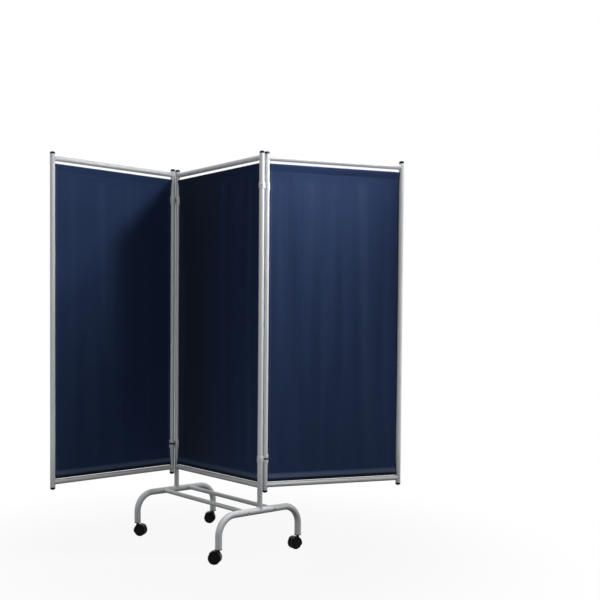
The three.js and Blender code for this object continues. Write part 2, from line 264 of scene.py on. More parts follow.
powder_coat = new_finish("satin silver powder coat")
spot = add_node(powder_coat, "ShaderNodeTexCoord", {})
patches = add_node(
    powder_coat, "ShaderNodeTexNoise", {"Scale": 1 / POWDER_PATCH, "Detail": 3.0},
    {"Vector": (spot, "Object")},
)
tone = add_node(
    powder_coat, "ShaderNodeMix",
    {"data_type": "RGBA", 6: linear(POWDER_DARK), 7: linear(POWDER_LIGHT)},
    {0: (patches, "Fac")},
)
grain = add_node(
    powder_coat, "ShaderNodeTexNoise", {"Scale": 1 / POWDER_GRAIN, "Detail": 1.0},
    {"Vector": (spot, "Object")},
)
flake = add_node(
    powder_coat, "ShaderNodeMapRange", {"From Min": 0.58, "From Max": 0.78, "To Max": 0.45},
    {"Value": (grain, "Fac")},
)
silver = add_node(
    powder_coat, "ShaderNodeMix", {"data_type": "RGBA", 7: linear(POWDER_FLAKE)},
    {0: (flake, "Result"), 6: (tone, 2)},
)
# Low on the stand, the tops of the tubes are painted paler, a painted top light, and their
# undersides darker, a painted shade
facing = add_node(powder_coat, "ShaderNodeSeparateXYZ", {}, {0: (spot, "Normal")})
height = add_node(powder_coat, "ShaderNodeSeparateXYZ", {}, {0: (spot, "Object")})
lowness = add_node(
    powder_coat, "ShaderNodeMapRange",
    {"From Min": PAINTED_SHADING_NONE, "From Max": PAINTED_SHADING_FULL}, {"Value": (height, "Z")},
)
coat = silver
for soil, start, full, strength in (
    (PAINTED_TOP_LIGHT, 0.6, 0.97, 0.55), (PAINTED_UNDERSIDE_SHADE, 0.4, -0.5, 0.85),
):
    turned = add_node(
        powder_coat, "ShaderNodeMapRange",
        {"From Min": start, "From Max": full, "To Max": strength}, {"Value": (facing, "Z")},
    )
    amount = add_node(
        powder_coat, "ShaderNodeMath", {"operation": "MULTIPLY"},
        {0: (lowness, "Result"), 1: (turned, "Result")},
    )
    coat = add_node(
        powder_coat, "ShaderNodeMix", {"data_type": "RGBA", 7: linear(soil)},
        {0: (amount, "Value"), 6: (coat, 2)},
    )
sheen = add_node(
    powder_coat, "ShaderNodeMapRange",
    {"From Min": 0.3, "From Max": 0.7, "To Min": 0.66, "To Max": 0.78},
    {"Value": (patches, "Fac")},
)
peel = add_node(
    powder_coat, "ShaderNodeTexNoise", {"Scale": 1 / POWDER_PEEL, "Detail": 2.0},
    {"Vector": (spot, "Object")},
)
skin = add_node(
    powder_coat, "ShaderNodeBump", {"Strength": 0.35, "Distance": 0.00012},
    {"Height": (peel, "Fac")},
)
paint = add_node(
    powder_coat, "ShaderNodeBsdfPrincipled", {"Metallic": 0.65, "Specular IOR Level": 0.4},
    {"Base Color": (coat, 2), "Roughness": (sheen, "Result"), "Normal": (skin, "Normal")},
)
add_node(powder_coat, "ShaderNodeOutputMaterial", {}, {"Surface": (paint, "BSDF")})

low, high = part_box("left_leg_frame")
LEG_BOTTOM = low.z
FRONT_LEG_Y = low.y + LEG_RADIUS
REAR_LEG_Y = high.y - LEG_RADIUS
SPRINGING = LEG_BOTTOM + LEG_STRAIGHT
BAR_HEIGHT = SPRINGING + LEG_BEND_RADIUS

clear_hands()
bpy.ops.mesh.primitive_circle_add(
    vertices=TUBE_SIDES, radius=LEG_RADIUS, location=(0, FRONT_LEG_Y, LEG_BOTTOM)
)
bent_tube = edit(settle(bpy.context.object))
pull(0, 0, LEG_STRAIGHT)
bpy.ops.mesh.spin(
    steps=LEG_BEND_STEPS, angle=math.pi / 2,
    center=(0, FRONT_LEG_Y + LEG_BEND_RADIUS, SPRINGING), axis=(1, 0, 0),
)
pull(0, BAR_STRAIGHT, 0)
bpy.ops.mesh.spin(
    steps=LEG_BEND_STEPS, angle=math.pi / 2,
    center=(0, REAR_LEG_Y - LEG_BEND_RADIUS, SPRINGING), axis=(1, 0, 0),
)
pull(0, 0, -LEG_STRAIGHT)
bpy.ops.mesh.select_all(action="SELECT")
bpy.ops.mesh.remove_doubles(threshold=DOUBLED)
take(bent_tube)


def leg_core(middle):
    """The nearest point on the bent tube's centre line."""
    half = (REAR_LEG_Y - FRONT_LEG_Y) / 2
    centre = (REAR_LEG_Y + FRONT_LEG_Y) / 2
    way = 1 if middle.y > centre else -1
    bend = Vector((0, centre + way * (half - LEG_BEND_RADIUS), SPRINGING))
    if middle.z < SPRINGING:
        return Vector((0, centre + way * half, middle.z))
    if abs(middle.y - centre) < half - LEG_BEND_RADIUS:
        return Vector((0, middle.y, BAR_HEIGHT))
    return bend + (Vector((0, middle.y, middle.z)) - bend).normalized() * LEG_BEND_RADIUS


turn_outwards(bent_tube, leg_core)
bake_modifier(bent_tube, "SOLIDIFY", thickness=LEG_WALL, offset=-1)

post_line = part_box("middle_left_post")
PANEL_Y = (post_line[0].y + post_line[1].y) / 2
spigot = settle(
    draw_tube(SPIGOT_RADIUS, LEG_WALL, BAR_HEIGHT + LEG_RADIUS / 2, SPIGOT_TOP),
    Matrix.Translation((0, PANEL_Y, 0)),
)
foot_weld = settle(
    saddle_bead(POST_RADIUS + LEG_BEAD_OUT, LEG_RADIUS, LEG_BEAD, LEG_BEAD_RIPPLES),
    Matrix.Translation((0, PANEL_Y, BAR_HEIGHT)),
)
leg_model = join(bent_tube, spigot, foot_weld)

SIDES = ("left", "right")
END_X = {}
for side in SIDES:
    low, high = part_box(f"{side}_leg_frame")
    END_X[side] = (low.x + high.x) / 2
    frame_piece = twin(leg_model, Matrix.Translation((END_X[side], 0, 0)))
    dress(frame_piece, f"leg_frame.{side}", STAND, PAINT_SLOT, powder_coat, f"{side}_leg_frame")
bpy.data.objects.remove(leg_model)

# ---------------------------------------------------------------------------------------
# Caster sockets. Black nylon plugs hammered into the leg ends: a flange the width of the
# tube, a shank inside it and a bore for the caster's stem.

FLANGE_RADIUS = 0.0151
FLANGE_HEIGHT = 0.003
FLANGE_EDGE = 0.0007
SHANK_RADIUS = 0.0125
SHANK_HEIGHT = 0.022
COLLAR_RADIUS = 0.0084
COLLAR_DROP = 0.0007
STEM_BORE = 0.0044
BORE_DEPTH = 0.019
# Points this near a line lie on it, and a face is an end face when its normal points at
# least this much along the piece
NEAR = 0.0001
END_FACE = 0.9
CORNERS = [f"{side}_{row}" for side in SIDES for row in ("front", "rear")]

# Injection moulded nylon 6, black: satin with a faint spark-eroded grain
NYLON_BLACK = "#0C0C0D"
NYLON_WORN = "#18191A"
NYLON_PATCH = 0.02
NYLON_GRAIN = 0.0012


def moulded_finish(name, blacks, patch, wear, gloss, body, grain=None, relief=None):
    """A moulded black: worn in patches, of uneven gloss and, where given, with a fine grain."""
    finish = new_finish(name)
    spot = add_node(finish, "ShaderNodeTexCoord", {})
    cloud = add_node(finish, "ShaderNodeTexNoise", patch, {"Vector": (spot, "Object")})
    worn = add_node(finish, "ShaderNodeMapRange", wear, {"Value": (cloud, "Fac")})
    black = add_node(
        finish, "ShaderNodeMix",
        {"data_type": "RGBA", 6: linear(blacks[0]), 7: linear(blacks[1])},
        {0: (worn, "Result")},
    )
    rough = add_node(finish, "ShaderNodeMapRange", gloss, {"Value": (cloud, "Fac")})
    looks = {"Base Color": (black, 2), "Roughness": (rough, "Result")}
    if grain:
        fine = add_node(finish, "ShaderNodeTexNoise", grain, {"Vector": (spot, "Object")})
        skin = add_node(finish, "ShaderNodeBump", relief, {"Height": (fine, "Fac")})
        looks["Normal"] = (skin, "Normal")
    plastic = add_node(finish, "ShaderNodeBsdfPrincipled", body, looks)
    add_node(finish, "ShaderNodeOutputMaterial", {}, {"Surface": (plastic, "BSDF")})
    return finish


nylon = moulded_finish(
    "moulded black nylon", (NYLON_BLACK, NYLON_WORN),
    patch={"Scale": 1 / NYLON_PATCH, "Detail": 4.0},
    wear={"From Min": 0.5, "From Max": 0.75, "To Max": 0.6},
    gloss={"From Min": 0.3, "From Max": 0.7, "To Min": 0.3, "To Max": 0.42},
    body={"IOR": 1.53, "Specular IOR Level": 0.13},
    grain={"Scale": 1 / NYLON_GRAIN, "Detail": 2.0},
    relief={"Strength": 0.25, "Distance": 0.0001},
)


def round_bar(radius, depth, sides, place=(0, 0, 0), rotation=(0, 0, 0), ends="NGON"):
    """A round bar cut to length, upright unless turned: the start of a round part."""
    clear_hands()
    bpy.ops.mesh.primitive_cylinder_add(
        vertices=sides, radius=radius, depth=depth, end_fill_type=ends, location=place,
        rotation=rotation,
    )
    return settle(bpy.context.object)


FLANGE_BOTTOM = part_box("left_front_caster_socket")[0].z
socket_model = edit(
    round_bar(FLANGE_RADIUS, FLANGE_HEIGHT, 48, (0, 0, FLANGE_BOTTOM + FLANGE_HEIGHT / 2))
)
pick("faces", lambda middle, face: face.normal.z > END_FACE)
bpy.ops.mesh.inset(thickness=FLANGE_RADIUS - SHANK_RADIUS)
pull(0, 0, SHANK_HEIGHT)
pick("faces", lambda middle, face: face.normal.z < -END_FACE)
bpy.ops.mesh.inset(thickness=FLANGE_RADIUS - COLLAR_RADIUS)
pull(0, 0, -COLLAR_DROP)
bpy.ops.mesh.inset(thickness=COLLAR_RADIUS - STEM_BORE)
pull(0, 0, BORE_DEPTH)
pick(
    "edges",
    lambda middle, edge: abs(edge.verts[0].co.z - edge.verts[1].co.z) < DOUBLED
    and all(abs(corner.co.xy.length - FLANGE_RADIUS) < NEAR for corner in edge.verts),
)
bpy.ops.mesh.bevel(offset=FLANGE_EDGE, segments=3)
take(socket_model)

joints = {joint["name"]: joint for joint in frame["joints"]}
for corner in CORNERS:
    swivel = Vector(joints[f"{corner}_swivel"]["pos_m"])
    socket = twin(socket_model, Matrix.Translation((swivel.x, swivel.y, 0)))
    dress(socket, f"socket.{corner}", STAND, "black_plastic", nylon, f"{corner}_caster_socket")
bpy.data.objects.remove(socket_model)

# ---------------------------------------------------------------------------------------
# Caster forks. One black nylon moulding each: a hood over both wheels, a web between
# them, an axle boss with a pressed-in pin, and a neck that turns in the socket.

WHEEL_RADIUS = 0.026
TRAIL = 0.016
HOOD_RADIUS = 0.02905
HOOD_HALF = 0.0183
HOOD_WALL = 0.0016
HOOD_CROWN = 0.0011
HOOD_FROM = math.radians(40)
HOOD_TO = math.radians(200)
HOOD_SIDES = 72
HOOD_EDGE = 0.0005
WEB_HALF = 0.002
WEB_RADIUS = 0.0283
# The web stops just short of the hood's ends, so that their faces don't fall together
WEB_SHORT = math.radians(0.8)
BOSS_RADIUS = 0.008
BOSS_PROUD = 0.0003
PIN_RADIUS = 0.003
PIN_HALF = 0.0183
PIN_EDGE = 0.0007
NECK_RADIUS = 0.006
NECK_FLARE = 0.0098
NECK_TOP = 0.0579
NECK_BOTTOM = 0.046
FLARE_TOP = 0.0545
STEM_RADIUS = 0.004
STEM_LENGTH = 0.026
STEM_MIDDLE = 0.0645
HUB = Vector((TRAIL, 0, WHEEL_RADIUS))
ALONG_Y = (math.pi / 2, 0, 0)


def hub_angle(point):
    """The angle of a point round the wheels' axle, from the trailing side upwards."""
    return math.atan2(point.z - HUB.z, point.x - HUB.x) % (2 * math.pi)


hood = edit(round_bar(HOOD_RADIUS, 2 * HOOD_HALF, HOOD_SIDES, HUB, ALONG_Y, ends="NOTHING"))
pick("faces", lambda middle, face: not HOOD_FROM < hub_angle(middle) < HOOD_TO)
bpy.ops.mesh.delete(type="FACE")
pick("edges", lambda middle, edge: abs(edge.verts[0].co.y - edge.verts[1].co.y) > HOOD_HALF)
bpy.ops.mesh.subdivide(number_cuts=11)
take(hood)
for corner in hood.data.vertices:
    out = corner.co - HUB
    share = abs(out.y) / HOOD_HALF
    drop = 1 - HOOD_CROWN * share ** 4 / HOOD_RADIUS
    corner.co.x = HUB.x + out.x * drop
    corner.co.z = HUB.z + out.z * drop
turn_outwards(hood, lambda middle: HUB)
bake_modifier(hood, "SOLIDIFY", thickness=HOOD_WALL, offset=-1)
bake_modifier(
    hood, "BEVEL", width=HOOD_EDGE, segments=2, limit_method="ANGLE", angle_limit=math.radians(50)
)

web = round_bar(WEB_RADIUS, 2 * WEB_HALF, HOOD_SIDES, HUB, ALONG_Y)
for angle, keep in ((HOOD_FROM + WEB_SHORT, -1), (HOOD_TO - WEB_SHORT, 1)):
    edit(web)
    bpy.ops.mesh.select_all(action="SELECT")
    bpy.ops.mesh.bisect(
        plane_co=HUB, plane_no=(keep * -math.sin(angle), 0, keep * math.cos(angle)),
        use_fill=True, clear_outer=True,
    )
    take(web)

boss = round_bar(BOSS_RADIUS, 2 * (WEB_HALF + BOSS_PROUD), 38, HUB, ALONG_Y)
pin = edit(round_bar(PIN_RADIUS, 2 * PIN_HALF, 28, HUB, ALONG_Y))
pick("faces", lambda middle, face: abs(face.normal.y) > END_FACE)
bpy.ops.mesh.bevel(offset=PIN_EDGE, segments=3)

neck = edit(
    round_bar(NECK_RADIUS, NECK_TOP - NECK_BOTTOM, 40, (0, 0, (NECK_TOP + NECK_BOTTOM) / 2))
)
pick("edges", lambda middle, edge: abs(edge.verts[0].co.z - edge.verts[1].co.z) > 10 * NEAR)
bpy.ops.mesh.subdivide(number_cuts=7)
take(neck)
for corner in neck.data.vertices:
    fall = max(0, (FLARE_TOP - corner.co.z) / (FLARE_TOP - NECK_BOTTOM))
    spread = 1 + (NECK_FLARE / NECK_RADIUS - 1) * fall ** 2
    corner.co.x *= spread
    corner.co.y *= spread
stem = round_bar(STEM_RADIUS, STEM_LENGTH, 28, (0, 0, STEM_MIDDLE))
fork_model = merge(hood, web, neck, boss, pin, stem)

caster_place = {}
for corner in CORNERS:
    swivel = Vector(joints[f"{corner}_swivel"]["pos_m"])
    hubs = [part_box(f"{corner}_{row}_wheel") for row in ("inboard", "outboard")]
    hub = sum((point for pair in hubs for point in pair), Vector()) / 4
    turn = math.atan2(hub.y - swivel.y, hub.x - swivel.x)
    place = Matrix.Translation((swivel.x, swivel.y, 0)) @ Matrix.Rotation(turn, 4, "Z")
    caster_place[corner] = place
    fork = twin(fork_model, place)
    dress(
        fork, f"fork.{corner}", f"{corner}_caster", "black_plastic", nylon,
        f"{corner}_caster_fork", smooth=40,
    )
bpy.data.objects.remove(fork_model)

# ---------------------------------------------------------------------------------------
# Wheels. Two to a caster, moulded in black nylon with a softer tread ring: a rounded
# tread, a recessed face with a raised hub, and a shallow ring that lightens the disc.

WHEEL_HALF = 0.0075
WHEEL_MIDDLE = 0.010
TREAD_EDGE = 0.0026
RIM_WIDTH = 0.0042
FACE_RECESS = 0.0012
DISC_RING = 0.0016
HUB_RADIUS = 0.0072
HUB_RISE = 0.001
# The disc's ring stands back out by this share of the face's recess, and the hub's middle is
# sunk by a share of its rise, inside a rim that is a share of its radius
RING_BACK = 0.45
HUB_SINK = 0.4
HUB_RIM = 0.25
WHEEL_EDGE = 0.00016

# Soft moulded tread over a nylon core: matt black with dust rubbed into the tread
RUBBER_BLACK = "#0D0D0E"
RUBBER_DUST = "#23221F"
DUST_PATCH = 0.009
TREAD_GRAIN = 0.0011

tread_rubber = moulded_finish(
    "moulded black tread rubber", (RUBBER_BLACK, RUBBER_DUST),
    patch={"Scale": 1 / DUST_PATCH, "Detail": 5.0, "Roughness": 0.65},
    wear={"From Min": 0.52, "From Max": 0.8, "To Max": 0.55},
    gloss={"To Min": 0.5, "To Max": 0.72},
    body={"IOR": 1.5, "Specular IOR Level": 0.1},
    grain={"Scale": 1 / TREAD_GRAIN, "Detail": 2.0},
    relief={"Strength": 0.3, "Distance": 0.0001},
)

wheel_model = edit(round_bar(WHEEL_RADIUS, 2 * WHEEL_HALF, 72, rotation=(-math.pi / 2, 0, 0)))
for face_way in (1, -1):
    pick("faces", lambda middle, face: face.normal.y * face_way > END_FACE)
    bpy.ops.mesh.inset(thickness=RIM_WIDTH)
    pull(0, -face_way * FACE_RECESS, 0)
    bpy.ops.mesh.inset(thickness=DISC_RING)
    pull(0, face_way * FACE_RECESS * RING_BACK, 0)
    bpy.ops.mesh.inset(thickness=WHEEL_RADIUS - RIM_WIDTH - DISC_RING - HUB_RADIUS)
    pull(0, face_way * HUB_RISE, 0)
    bpy.ops.mesh.inset(thickness=HUB_RADIUS * HUB_RIM)
    pull(0, -face_way * HUB_RISE * HUB_SINK, 0)
pick(
    "edges",
    lambda middle, edge: abs(abs(middle.y) - WHEEL_HALF) < NEAR
    and all(abs(corner.co.xz.length - WHEEL_RADIUS) < NEAR for corner in edge.verts),
)
bpy.ops.mesh.bevel(offset=TREAD_EDGE, segments=5)
bake_modifier(
    wheel_model, "BEVEL", width=WHEEL_EDGE, segments=2, limit_method="ANGLE",
    angle_limit=math.radians(50),
)

for corner in CORNERS:
    for row, way in (("inboard", -1), ("outboard", 1)):
        spot = Matrix.Translation(HUB + Vector((0, way * WHEEL_MIDDLE, 0)))
        half_turn = Matrix.Rotation(0 if way > 0 else math.pi, 4, "Z")
        wheel = twin(wheel_model, caster_place[corner] @ spot @ half_turn)
        dress(
            wheel, f"wheel.{corner}_{row}", f"{corner}_{row}", "black_rubber", tread_rubber,
            f"{corner}_{row}_wheel", smooth=40,
        )
bpy.data.objects.remove(wheel_model)

# ---------------------------------------------------------------------------------------
# Cross tubes. Two 19 mm steel tubes between the leg frames, their ends notched to fit
# round the leg tubes, with a threaded plug inside each end for its bolt. Powder coated.

CROSS_RADIUS = 0.0095
CROSS_WALL = 0.0012
CROSS_HALF_SPACING = 0.070
NOTCH_GAP = 0.00015
NOTCH_REACH = 0.06
HALF_PITCH = (END_X["right"] - END_X["left"]) / 2
MIDDLE_X = (END_X["right"] + END_X["left"]) / 2
ROWS = {"front": -1, "rear": 1}


def notch_tool(radius, reach, matrix):
    """A round cutter for the notched end of a tube."""
    return settle(round_bar(radius, reach, 64), matrix)


cross_model = settle(
    draw_tube(CROSS_RADIUS, CROSS_WALL, -HALF_PITCH, HALF_PITCH),
    Matrix.Rotation(math.pi / 2, 4, "Y"),
)
for way in (-1, 1):
    lay = Matrix.Translation((way * HALF_PITCH, 0, 0)) @ Matrix.Rotation(math.pi / 2, 4, "X")
    merge(cross_model, notch_tool(LEG_RADIUS + NOTCH_GAP, NOTCH_REACH, lay), operation="DIFFERENCE")
for row, way in ROWS.items():
    place = Matrix.Translation((MIDDLE_X, PANEL_Y + way * CROSS_HALF_SPACING, BAR_HEIGHT))
    tube = twin(cross_model, place)
    dress(tube, f"cross_tube.{row}", STAND, PAINT_SLOT, powder_coat, f"{row}_cross_tube")
bpy.data.objects.remove(cross_model)

# ---------------------------------------------------------------------------------------
# Bolts. M6 button-head socket screws, bright zinc plated, put through the leg tube into
# the plug in each cross tube. The key's socket is painted dark, a painted shade, inside a bright
# rim.

BOLT_HEAD_RADIUS = 0.0055
BOLT_HEAD_HEIGHT = 0.0034
BOLT_SHANK_RADIUS = 0.003
BOLT_SHANK_LENGTH = 0.0386
KEY_RADIUS = 0.0035
KEY_DEPTH = 0.0031
KEY_SIDES = 6
HEAD_ROUNDING = 0.55
SHANK_OVERLAP = 0.0002
HEAD_STANDS_OFF = 0.0003

# Bright zinc plate on steel: a cool bluish metal with a faint cloudy passivation
ZINC_LIGHT = "#B4B8BD"
ZINC_DARK = "#84898F"
# Painted shade in the key socket: full deep inside, weaker at its rim
PAINTED_SOCKET_SHADE = "#0E0E0E"
PAINTED_SHADE_AT_RIM = 0.25
ZINC_PATCH = 0.004

zinc_plate = new_finish("bright zinc plated steel")
spot = add_node(zinc_plate, "ShaderNodeTexCoord", {})
cloud = add_node(
    zinc_plate, "ShaderNodeTexNoise", {"Scale": 1 / ZINC_PATCH, "Detail": 3.0},
    {"Vector": (spot, "Object")},
)
tint = add_node(
    zinc_plate, "ShaderNodeMix",
    {"data_type": "RGBA", 6: linear(ZINC_DARK), 7: linear(ZINC_LIGHT)},
    {0: (cloud, "Fac")},
)
rough = add_node(
    zinc_plate, "ShaderNodeMapRange", {"To Min": 0.2, "To Max": 0.38}, {"Value": (cloud, "Fac")}
)
# The key socket's painted shade, read from the head's attribute
soil = add_node(zinc_plate, "ShaderNodeAttribute", {"attribute_name": "soil"})
socket_shade_mix = add_node(
    zinc_plate, "ShaderNodeMix", {"data_type": "RGBA", 7: linear(PAINTED_SOCKET_SHADE)},
    {0: (soil, "Fac"), 6: (tint, 2)},
)
metal = add_node(
    zinc_plate, "ShaderNodeBsdfPrincipled", {"Metallic": 1.0},
    {"Base Color": (socket_shade_mix, 2), "Roughness": (rough, "Result")},
)
add_node(zinc_plate, "ShaderNodeOutputMaterial", {}, {"Surface": (metal, "BSDF")})


def button_head(radius, height, key_radius, key_depth):
    """A domed screw head on the Z axis, its seat at zero, with its key socket painted dark as
    painted shade.
    """
    head = edit(round_bar(radius, height, 36, (0, 0, height / 2)))
    pick("faces", lambda middle, face: face.normal.z > END_FACE)
    bpy.ops.mesh.bevel(offset=height * HEAD_ROUNDING, segments=5)
    key = round_bar(key_radius, 2 * key_depth, KEY_SIDES, (0, 0, height))
    merge(head, key, operation="DIFFERENCE")
    # Painted shade: the socket's deep points are painted fully dark, those near its rim partly
    soil = head.data.attributes.new("soil", "FLOAT", "POINT")
    for point in head.data.vertices:
        if point.co.xy.length < 1.05 * key_radius and point.co.z > 0:
            deep = point.co.z < height - 0.5 * key_depth
            soil.data[point.index].value = 1.0 if deep else PAINTED_SHADE_AT_RIM
    return head


bolt_model = button_head(BOLT_HEAD_RADIUS, BOLT_HEAD_HEIGHT, KEY_RADIUS, KEY_DEPTH)
shank_middle = -BOLT_SHANK_LENGTH / 2 + SHANK_OVERLAP
shank = round_bar(BOLT_SHANK_RADIUS, BOLT_SHANK_LENGTH, 24, (0, 0, shank_middle))
bolt_model = merge(bolt_model, shank)
for side, outwards in (("left", -1), ("right", 1)):
    for row, way in ROWS.items():
        seat = Vector((
            END_X[side] + outwards * (LEG_RADIUS + HEAD_STANDS_OFF),
            PANEL_Y + way * CROSS_HALF_SPACING, BAR_HEIGHT,
        ))
        turn = Matrix.Rotation(outwards * math.pi / 2, 4, "Y")
        bolt = twin(bolt_model, Matrix.Translation(seat) @ turn)
        dress(bolt, f"bolt.{side}_{row}", STAND, "zinc_steel", zinc_plate, f"{side}_{row}_bolt")
bpy.data.objects.remove(bolt_model)

# ---------------------------------------------------------------------------------------
# Posts. 22 mm steel tube, drilled for the curtain rods. The middle panel's two run down
# over the spigots and are notched to sit on the leg tubes, each held by a small screw.
# The wings' inner posts carry a welded bead at each hinge.

ROD_RADIUS = 0.004
ROD_HOLE = 0.0043
FOOT_SCREW_HEIGHT = 0.2545
SCREW_HEAD_RADIUS = 0.0036
SCREW_HEAD_HEIGHT = 0.0019
SCREW_KEY_RADIUS = 0.0018
SCREW_KEY_DEPTH = 0.0016
FOOT_SCREW_TURN = math.radians(52)
DRILL_REACH = 0.01
HINGE_BEAD_RADIUS = 0.0122
HINGE_BEAD_HALF = 0.0035

PANELS = {
    "middle": ("middle_left", "middle_right"),
    "left": ("left_inner", "left_outer"),
    "right": ("right_inner", "right_outer"),
}
BODY = {"middle": STAND, "left": "left_wing", "right": "right_wing"}
# The side of each panel, in its own frame, that the camera faces
FRONT = {"middle": -1, "left": 1, "right": -1}


def middle_of(node):
    """The middle of a solid's box."""
    low_corner, high_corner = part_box(node)
    return (low_corner + high_corner) / 2


def panel_place(inner, outer):
    """A panel's own frame: the inner post on the Z axis, the outer one along X."""
    start, end = middle_of(f"{inner}_post"), middle_of(f"{outer}_post")
    turn = math.atan2(end.y - start.y, end.x - start.x)
    return Matrix.Translation((start.x, start.y, 0)) @ Matrix.Rotation(turn, 4, "Z")


place_of = {panel: panel_place(*posts) for panel, posts in PANELS.items()}
PITCH = (middle_of("middle_right_post") - middle_of("middle_left_post")).x
TUBE_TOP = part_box("left_outer_post")[1].z
TUBE_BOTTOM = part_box("left_outer_post")[0].z
ROD_HEIGHTS = [middle_of("middle_top_rod").z, middle_of("middle_bottom_rod").z]
HINGE_HEIGHTS = {
    level: middle_of(f"left_{level}_hinge_bracket").z for level in ("upper", "lower")
}


def make_post(bottom, hole_side):
    """A post on the Z axis, drilled on one side for both curtain rods."""
    post = draw_tube(POST_RADIUS, POST_WALL, bottom, TUBE_TOP)
    for height in ROD_HEIGHTS:
        lay = Matrix.Translation((hole_side * POST_RADIUS, 0, height))
        drill = notch_tool(ROD_HOLE, DRILL_REACH, lay @ Matrix.Rotation(math.pi / 2, 4, "Y"))
        merge(post, drill, operation="DIFFERENCE")
    return post


screw_model = button_head(
    SCREW_HEAD_RADIUS, SCREW_HEAD_HEIGHT, SCREW_KEY_RADIUS, SCREW_KEY_DEPTH
)
for panel, posts in PANELS.items():
    for index, post_name in enumerate(posts):
        standing = panel == "middle"
        post = make_post(BAR_HEIGHT if standing else TUBE_BOTTOM, -1 if index else 1)
        if standing:
            lay = Matrix.Translation((0, 0, BAR_HEIGHT)) @ Matrix.Rotation(math.pi / 2, 4, "X")
            notch = notch_tool(LEG_RADIUS + NOTCH_GAP, NOTCH_REACH, lay)
            merge(post, notch, operation="DIFFERENCE")
        elif index == 0:
            for height in HINGE_HEIGHTS.values():
                bead = round_bar(
                    HINGE_BEAD_RADIUS, 2 * HINGE_BEAD_HALF, TUBE_SIDES, (0, 0, height),
                    ends="NOTHING",
                )
                turn_outwards(bead, lambda middle: Vector((0, 0, middle.z)))
                bake_modifier(
                    bead, "SOLIDIFY", thickness=HINGE_BEAD_RADIUS - POST_RADIUS, offset=-1
                )
                post = join(post, bead)
        place = place_of[panel] @ Matrix.Translation((index * PITCH, 0, 0))
        settle(post, place)
        dress(
            post, f"post.{post_name}", BODY[panel], PAINT_SLOT, powder_coat, f"{post_name}_post"
        )
        if standing:
            face = Matrix.Translation((0, -POST_RADIUS, FOOT_SCREW_HEIGHT))
            turned = face @ Matrix.Rotation(math.pi / 2, 4, "X")
            around = Matrix.Rotation(FOOT_SCREW_TURN, 4, "Z")
            screw = twin(screw_model, place @ around @ turned)
            dress(screw, f"foot_screw.{post_name}", STAND, "zinc_steel", zinc_plate)

# ---------------------------------------------------------------------------------------
# Rails. The same 22 mm tube, notched at both ends and welded between the posts. Equal
# tubes meet in a V, so the weld shows as two slanting lines on each face.

RAIL_BEAD = 0.0011
RAIL_BEAD_RIPPLES = 46

rail_model = settle(
    draw_tube(POST_RADIUS, POST_WALL, 0, PITCH), Matrix.Rotation(math.pi / 2, 4, "Y")
)
for x in (0, PITCH):
    tool = notch_tool(POST_RADIUS + NOTCH_GAP, NOTCH_REACH, Matrix.Translation((x, 0, 0)))
    merge(rail_model, tool, operation="DIFFERENCE")
weld = saddle_bead(
    POST_RADIUS, POST_RADIUS + NOTCH_GAP / 2, RAIL_BEAD, RAIL_BEAD_RIPPLES
)
toward = Matrix.Rotation(math.pi / 2, 4, "Y") @ Matrix.Rotation(math.pi / 2, 4, "Z")
first_weld = twin(weld, toward)
second_weld = twin(
    weld, Matrix.Translation((PITCH, 0, 0)) @ Matrix.Rotation(math.pi, 4, "Z") @ toward
)
bpy.data.objects.remove(weld)
rail_model = join(rail_model, first_weld, second_weld)
for panel in PANELS:
    for level in ("top", "bottom"):
        height = middle_of(f"{panel}_{level}_rail").z
        rail = twin(rail_model, place_of[panel] @ Matrix.Translation((0, 0, height)))
        dress(
            rail, f"rail.{panel}_{level}", BODY[panel], PAINT_SLOT, powder_coat,
            f"{panel}_{level}_rail",
        )
bpy.data.objects.remove(rail_model)

# ---------------------------------------------------------------------------------------
# Curtain rods. 8 mm zinc-plated tube through the curtain's hem, its ends in the posts.

ROD_WALL = 0.001
ROD_INSET = 0.007
ROD_SIDES = 24

rod_model = settle(
    draw_tube(ROD_RADIUS, ROD_WALL, ROD_INSET, PITCH - ROD_INSET, ROD_SIDES),
    Matrix.Rotation(math.pi / 2, 4, "Y"),
)
for panel in PANELS:
    for level, height in zip(("top", "bottom"), ROD_HEIGHTS):
        rod = twin(rod_model, place_of[panel] @ Matrix.Translation((0, 0, height)))
        dress(
            rod, f"rod.{panel}_{level}", BODY[panel], "zinc_steel", zinc_plate,
            f"{panel}_{level}_rod",
        )
bpy.data.objects.remove(rod_model)

# ---------------------------------------------------------------------------------------
# Curtains. Vinyl-coated polyester cloth, cut in one width, its sides turned in 12 mm and
# painted dark along them as painted shade, its top and bottom turned over a rod and stitched
# 36 mm in. The rods pull it nearly flat, so it hangs in faint upright folds.

CLOTH_THICKNESS = 0.0005
CLOTH_LOOP = 0.0049
POCKET_SWELL = 0.5
POCKET_RISE = 0.02
HEM_DEPTH = 0.036
HEM_TURN_UNDER = 0.003
SEAM_HALF_GAP = 0.00085
SIDE_HEM = 0.012
SIDE_LAP = 0.00055
EDGE_CLEAR = 0.0117
EDGE_AT_HINGE = 0.0146
HINGE_ZONE = 0.0145
HINGE_EASE = 0.006
HINGE_ROW = 0.0025
SHARP_TURN = 0.0006
SEAM_CLOSES = 0.04
ROWS_BUNCH = 0.45
COLUMN = 0.002
BODY_ROWS = 64
LOOP_STEPS = 14
HEM_STEPS = 8
FOLD_SPACING = 0.096
FOLD_START = 0.015
FOLD_DEPTH = {"middle": 0.002, "left": 0.0015, "right": 0.0015}
FOLD_TURN = {"middle": 0, "left": 1, "right": 2}
CURTAIN_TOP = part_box("middle_curtain")[1].z
CURTAIN_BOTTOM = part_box("middle_curtain")[0].z
SEAM_TOP = CURTAIN_TOP - HEM_DEPTH
SEAM_BOTTOM = CURTAIN_BOTTOM + HEM_DEPTH
STITCH_INWARD = 0.0095

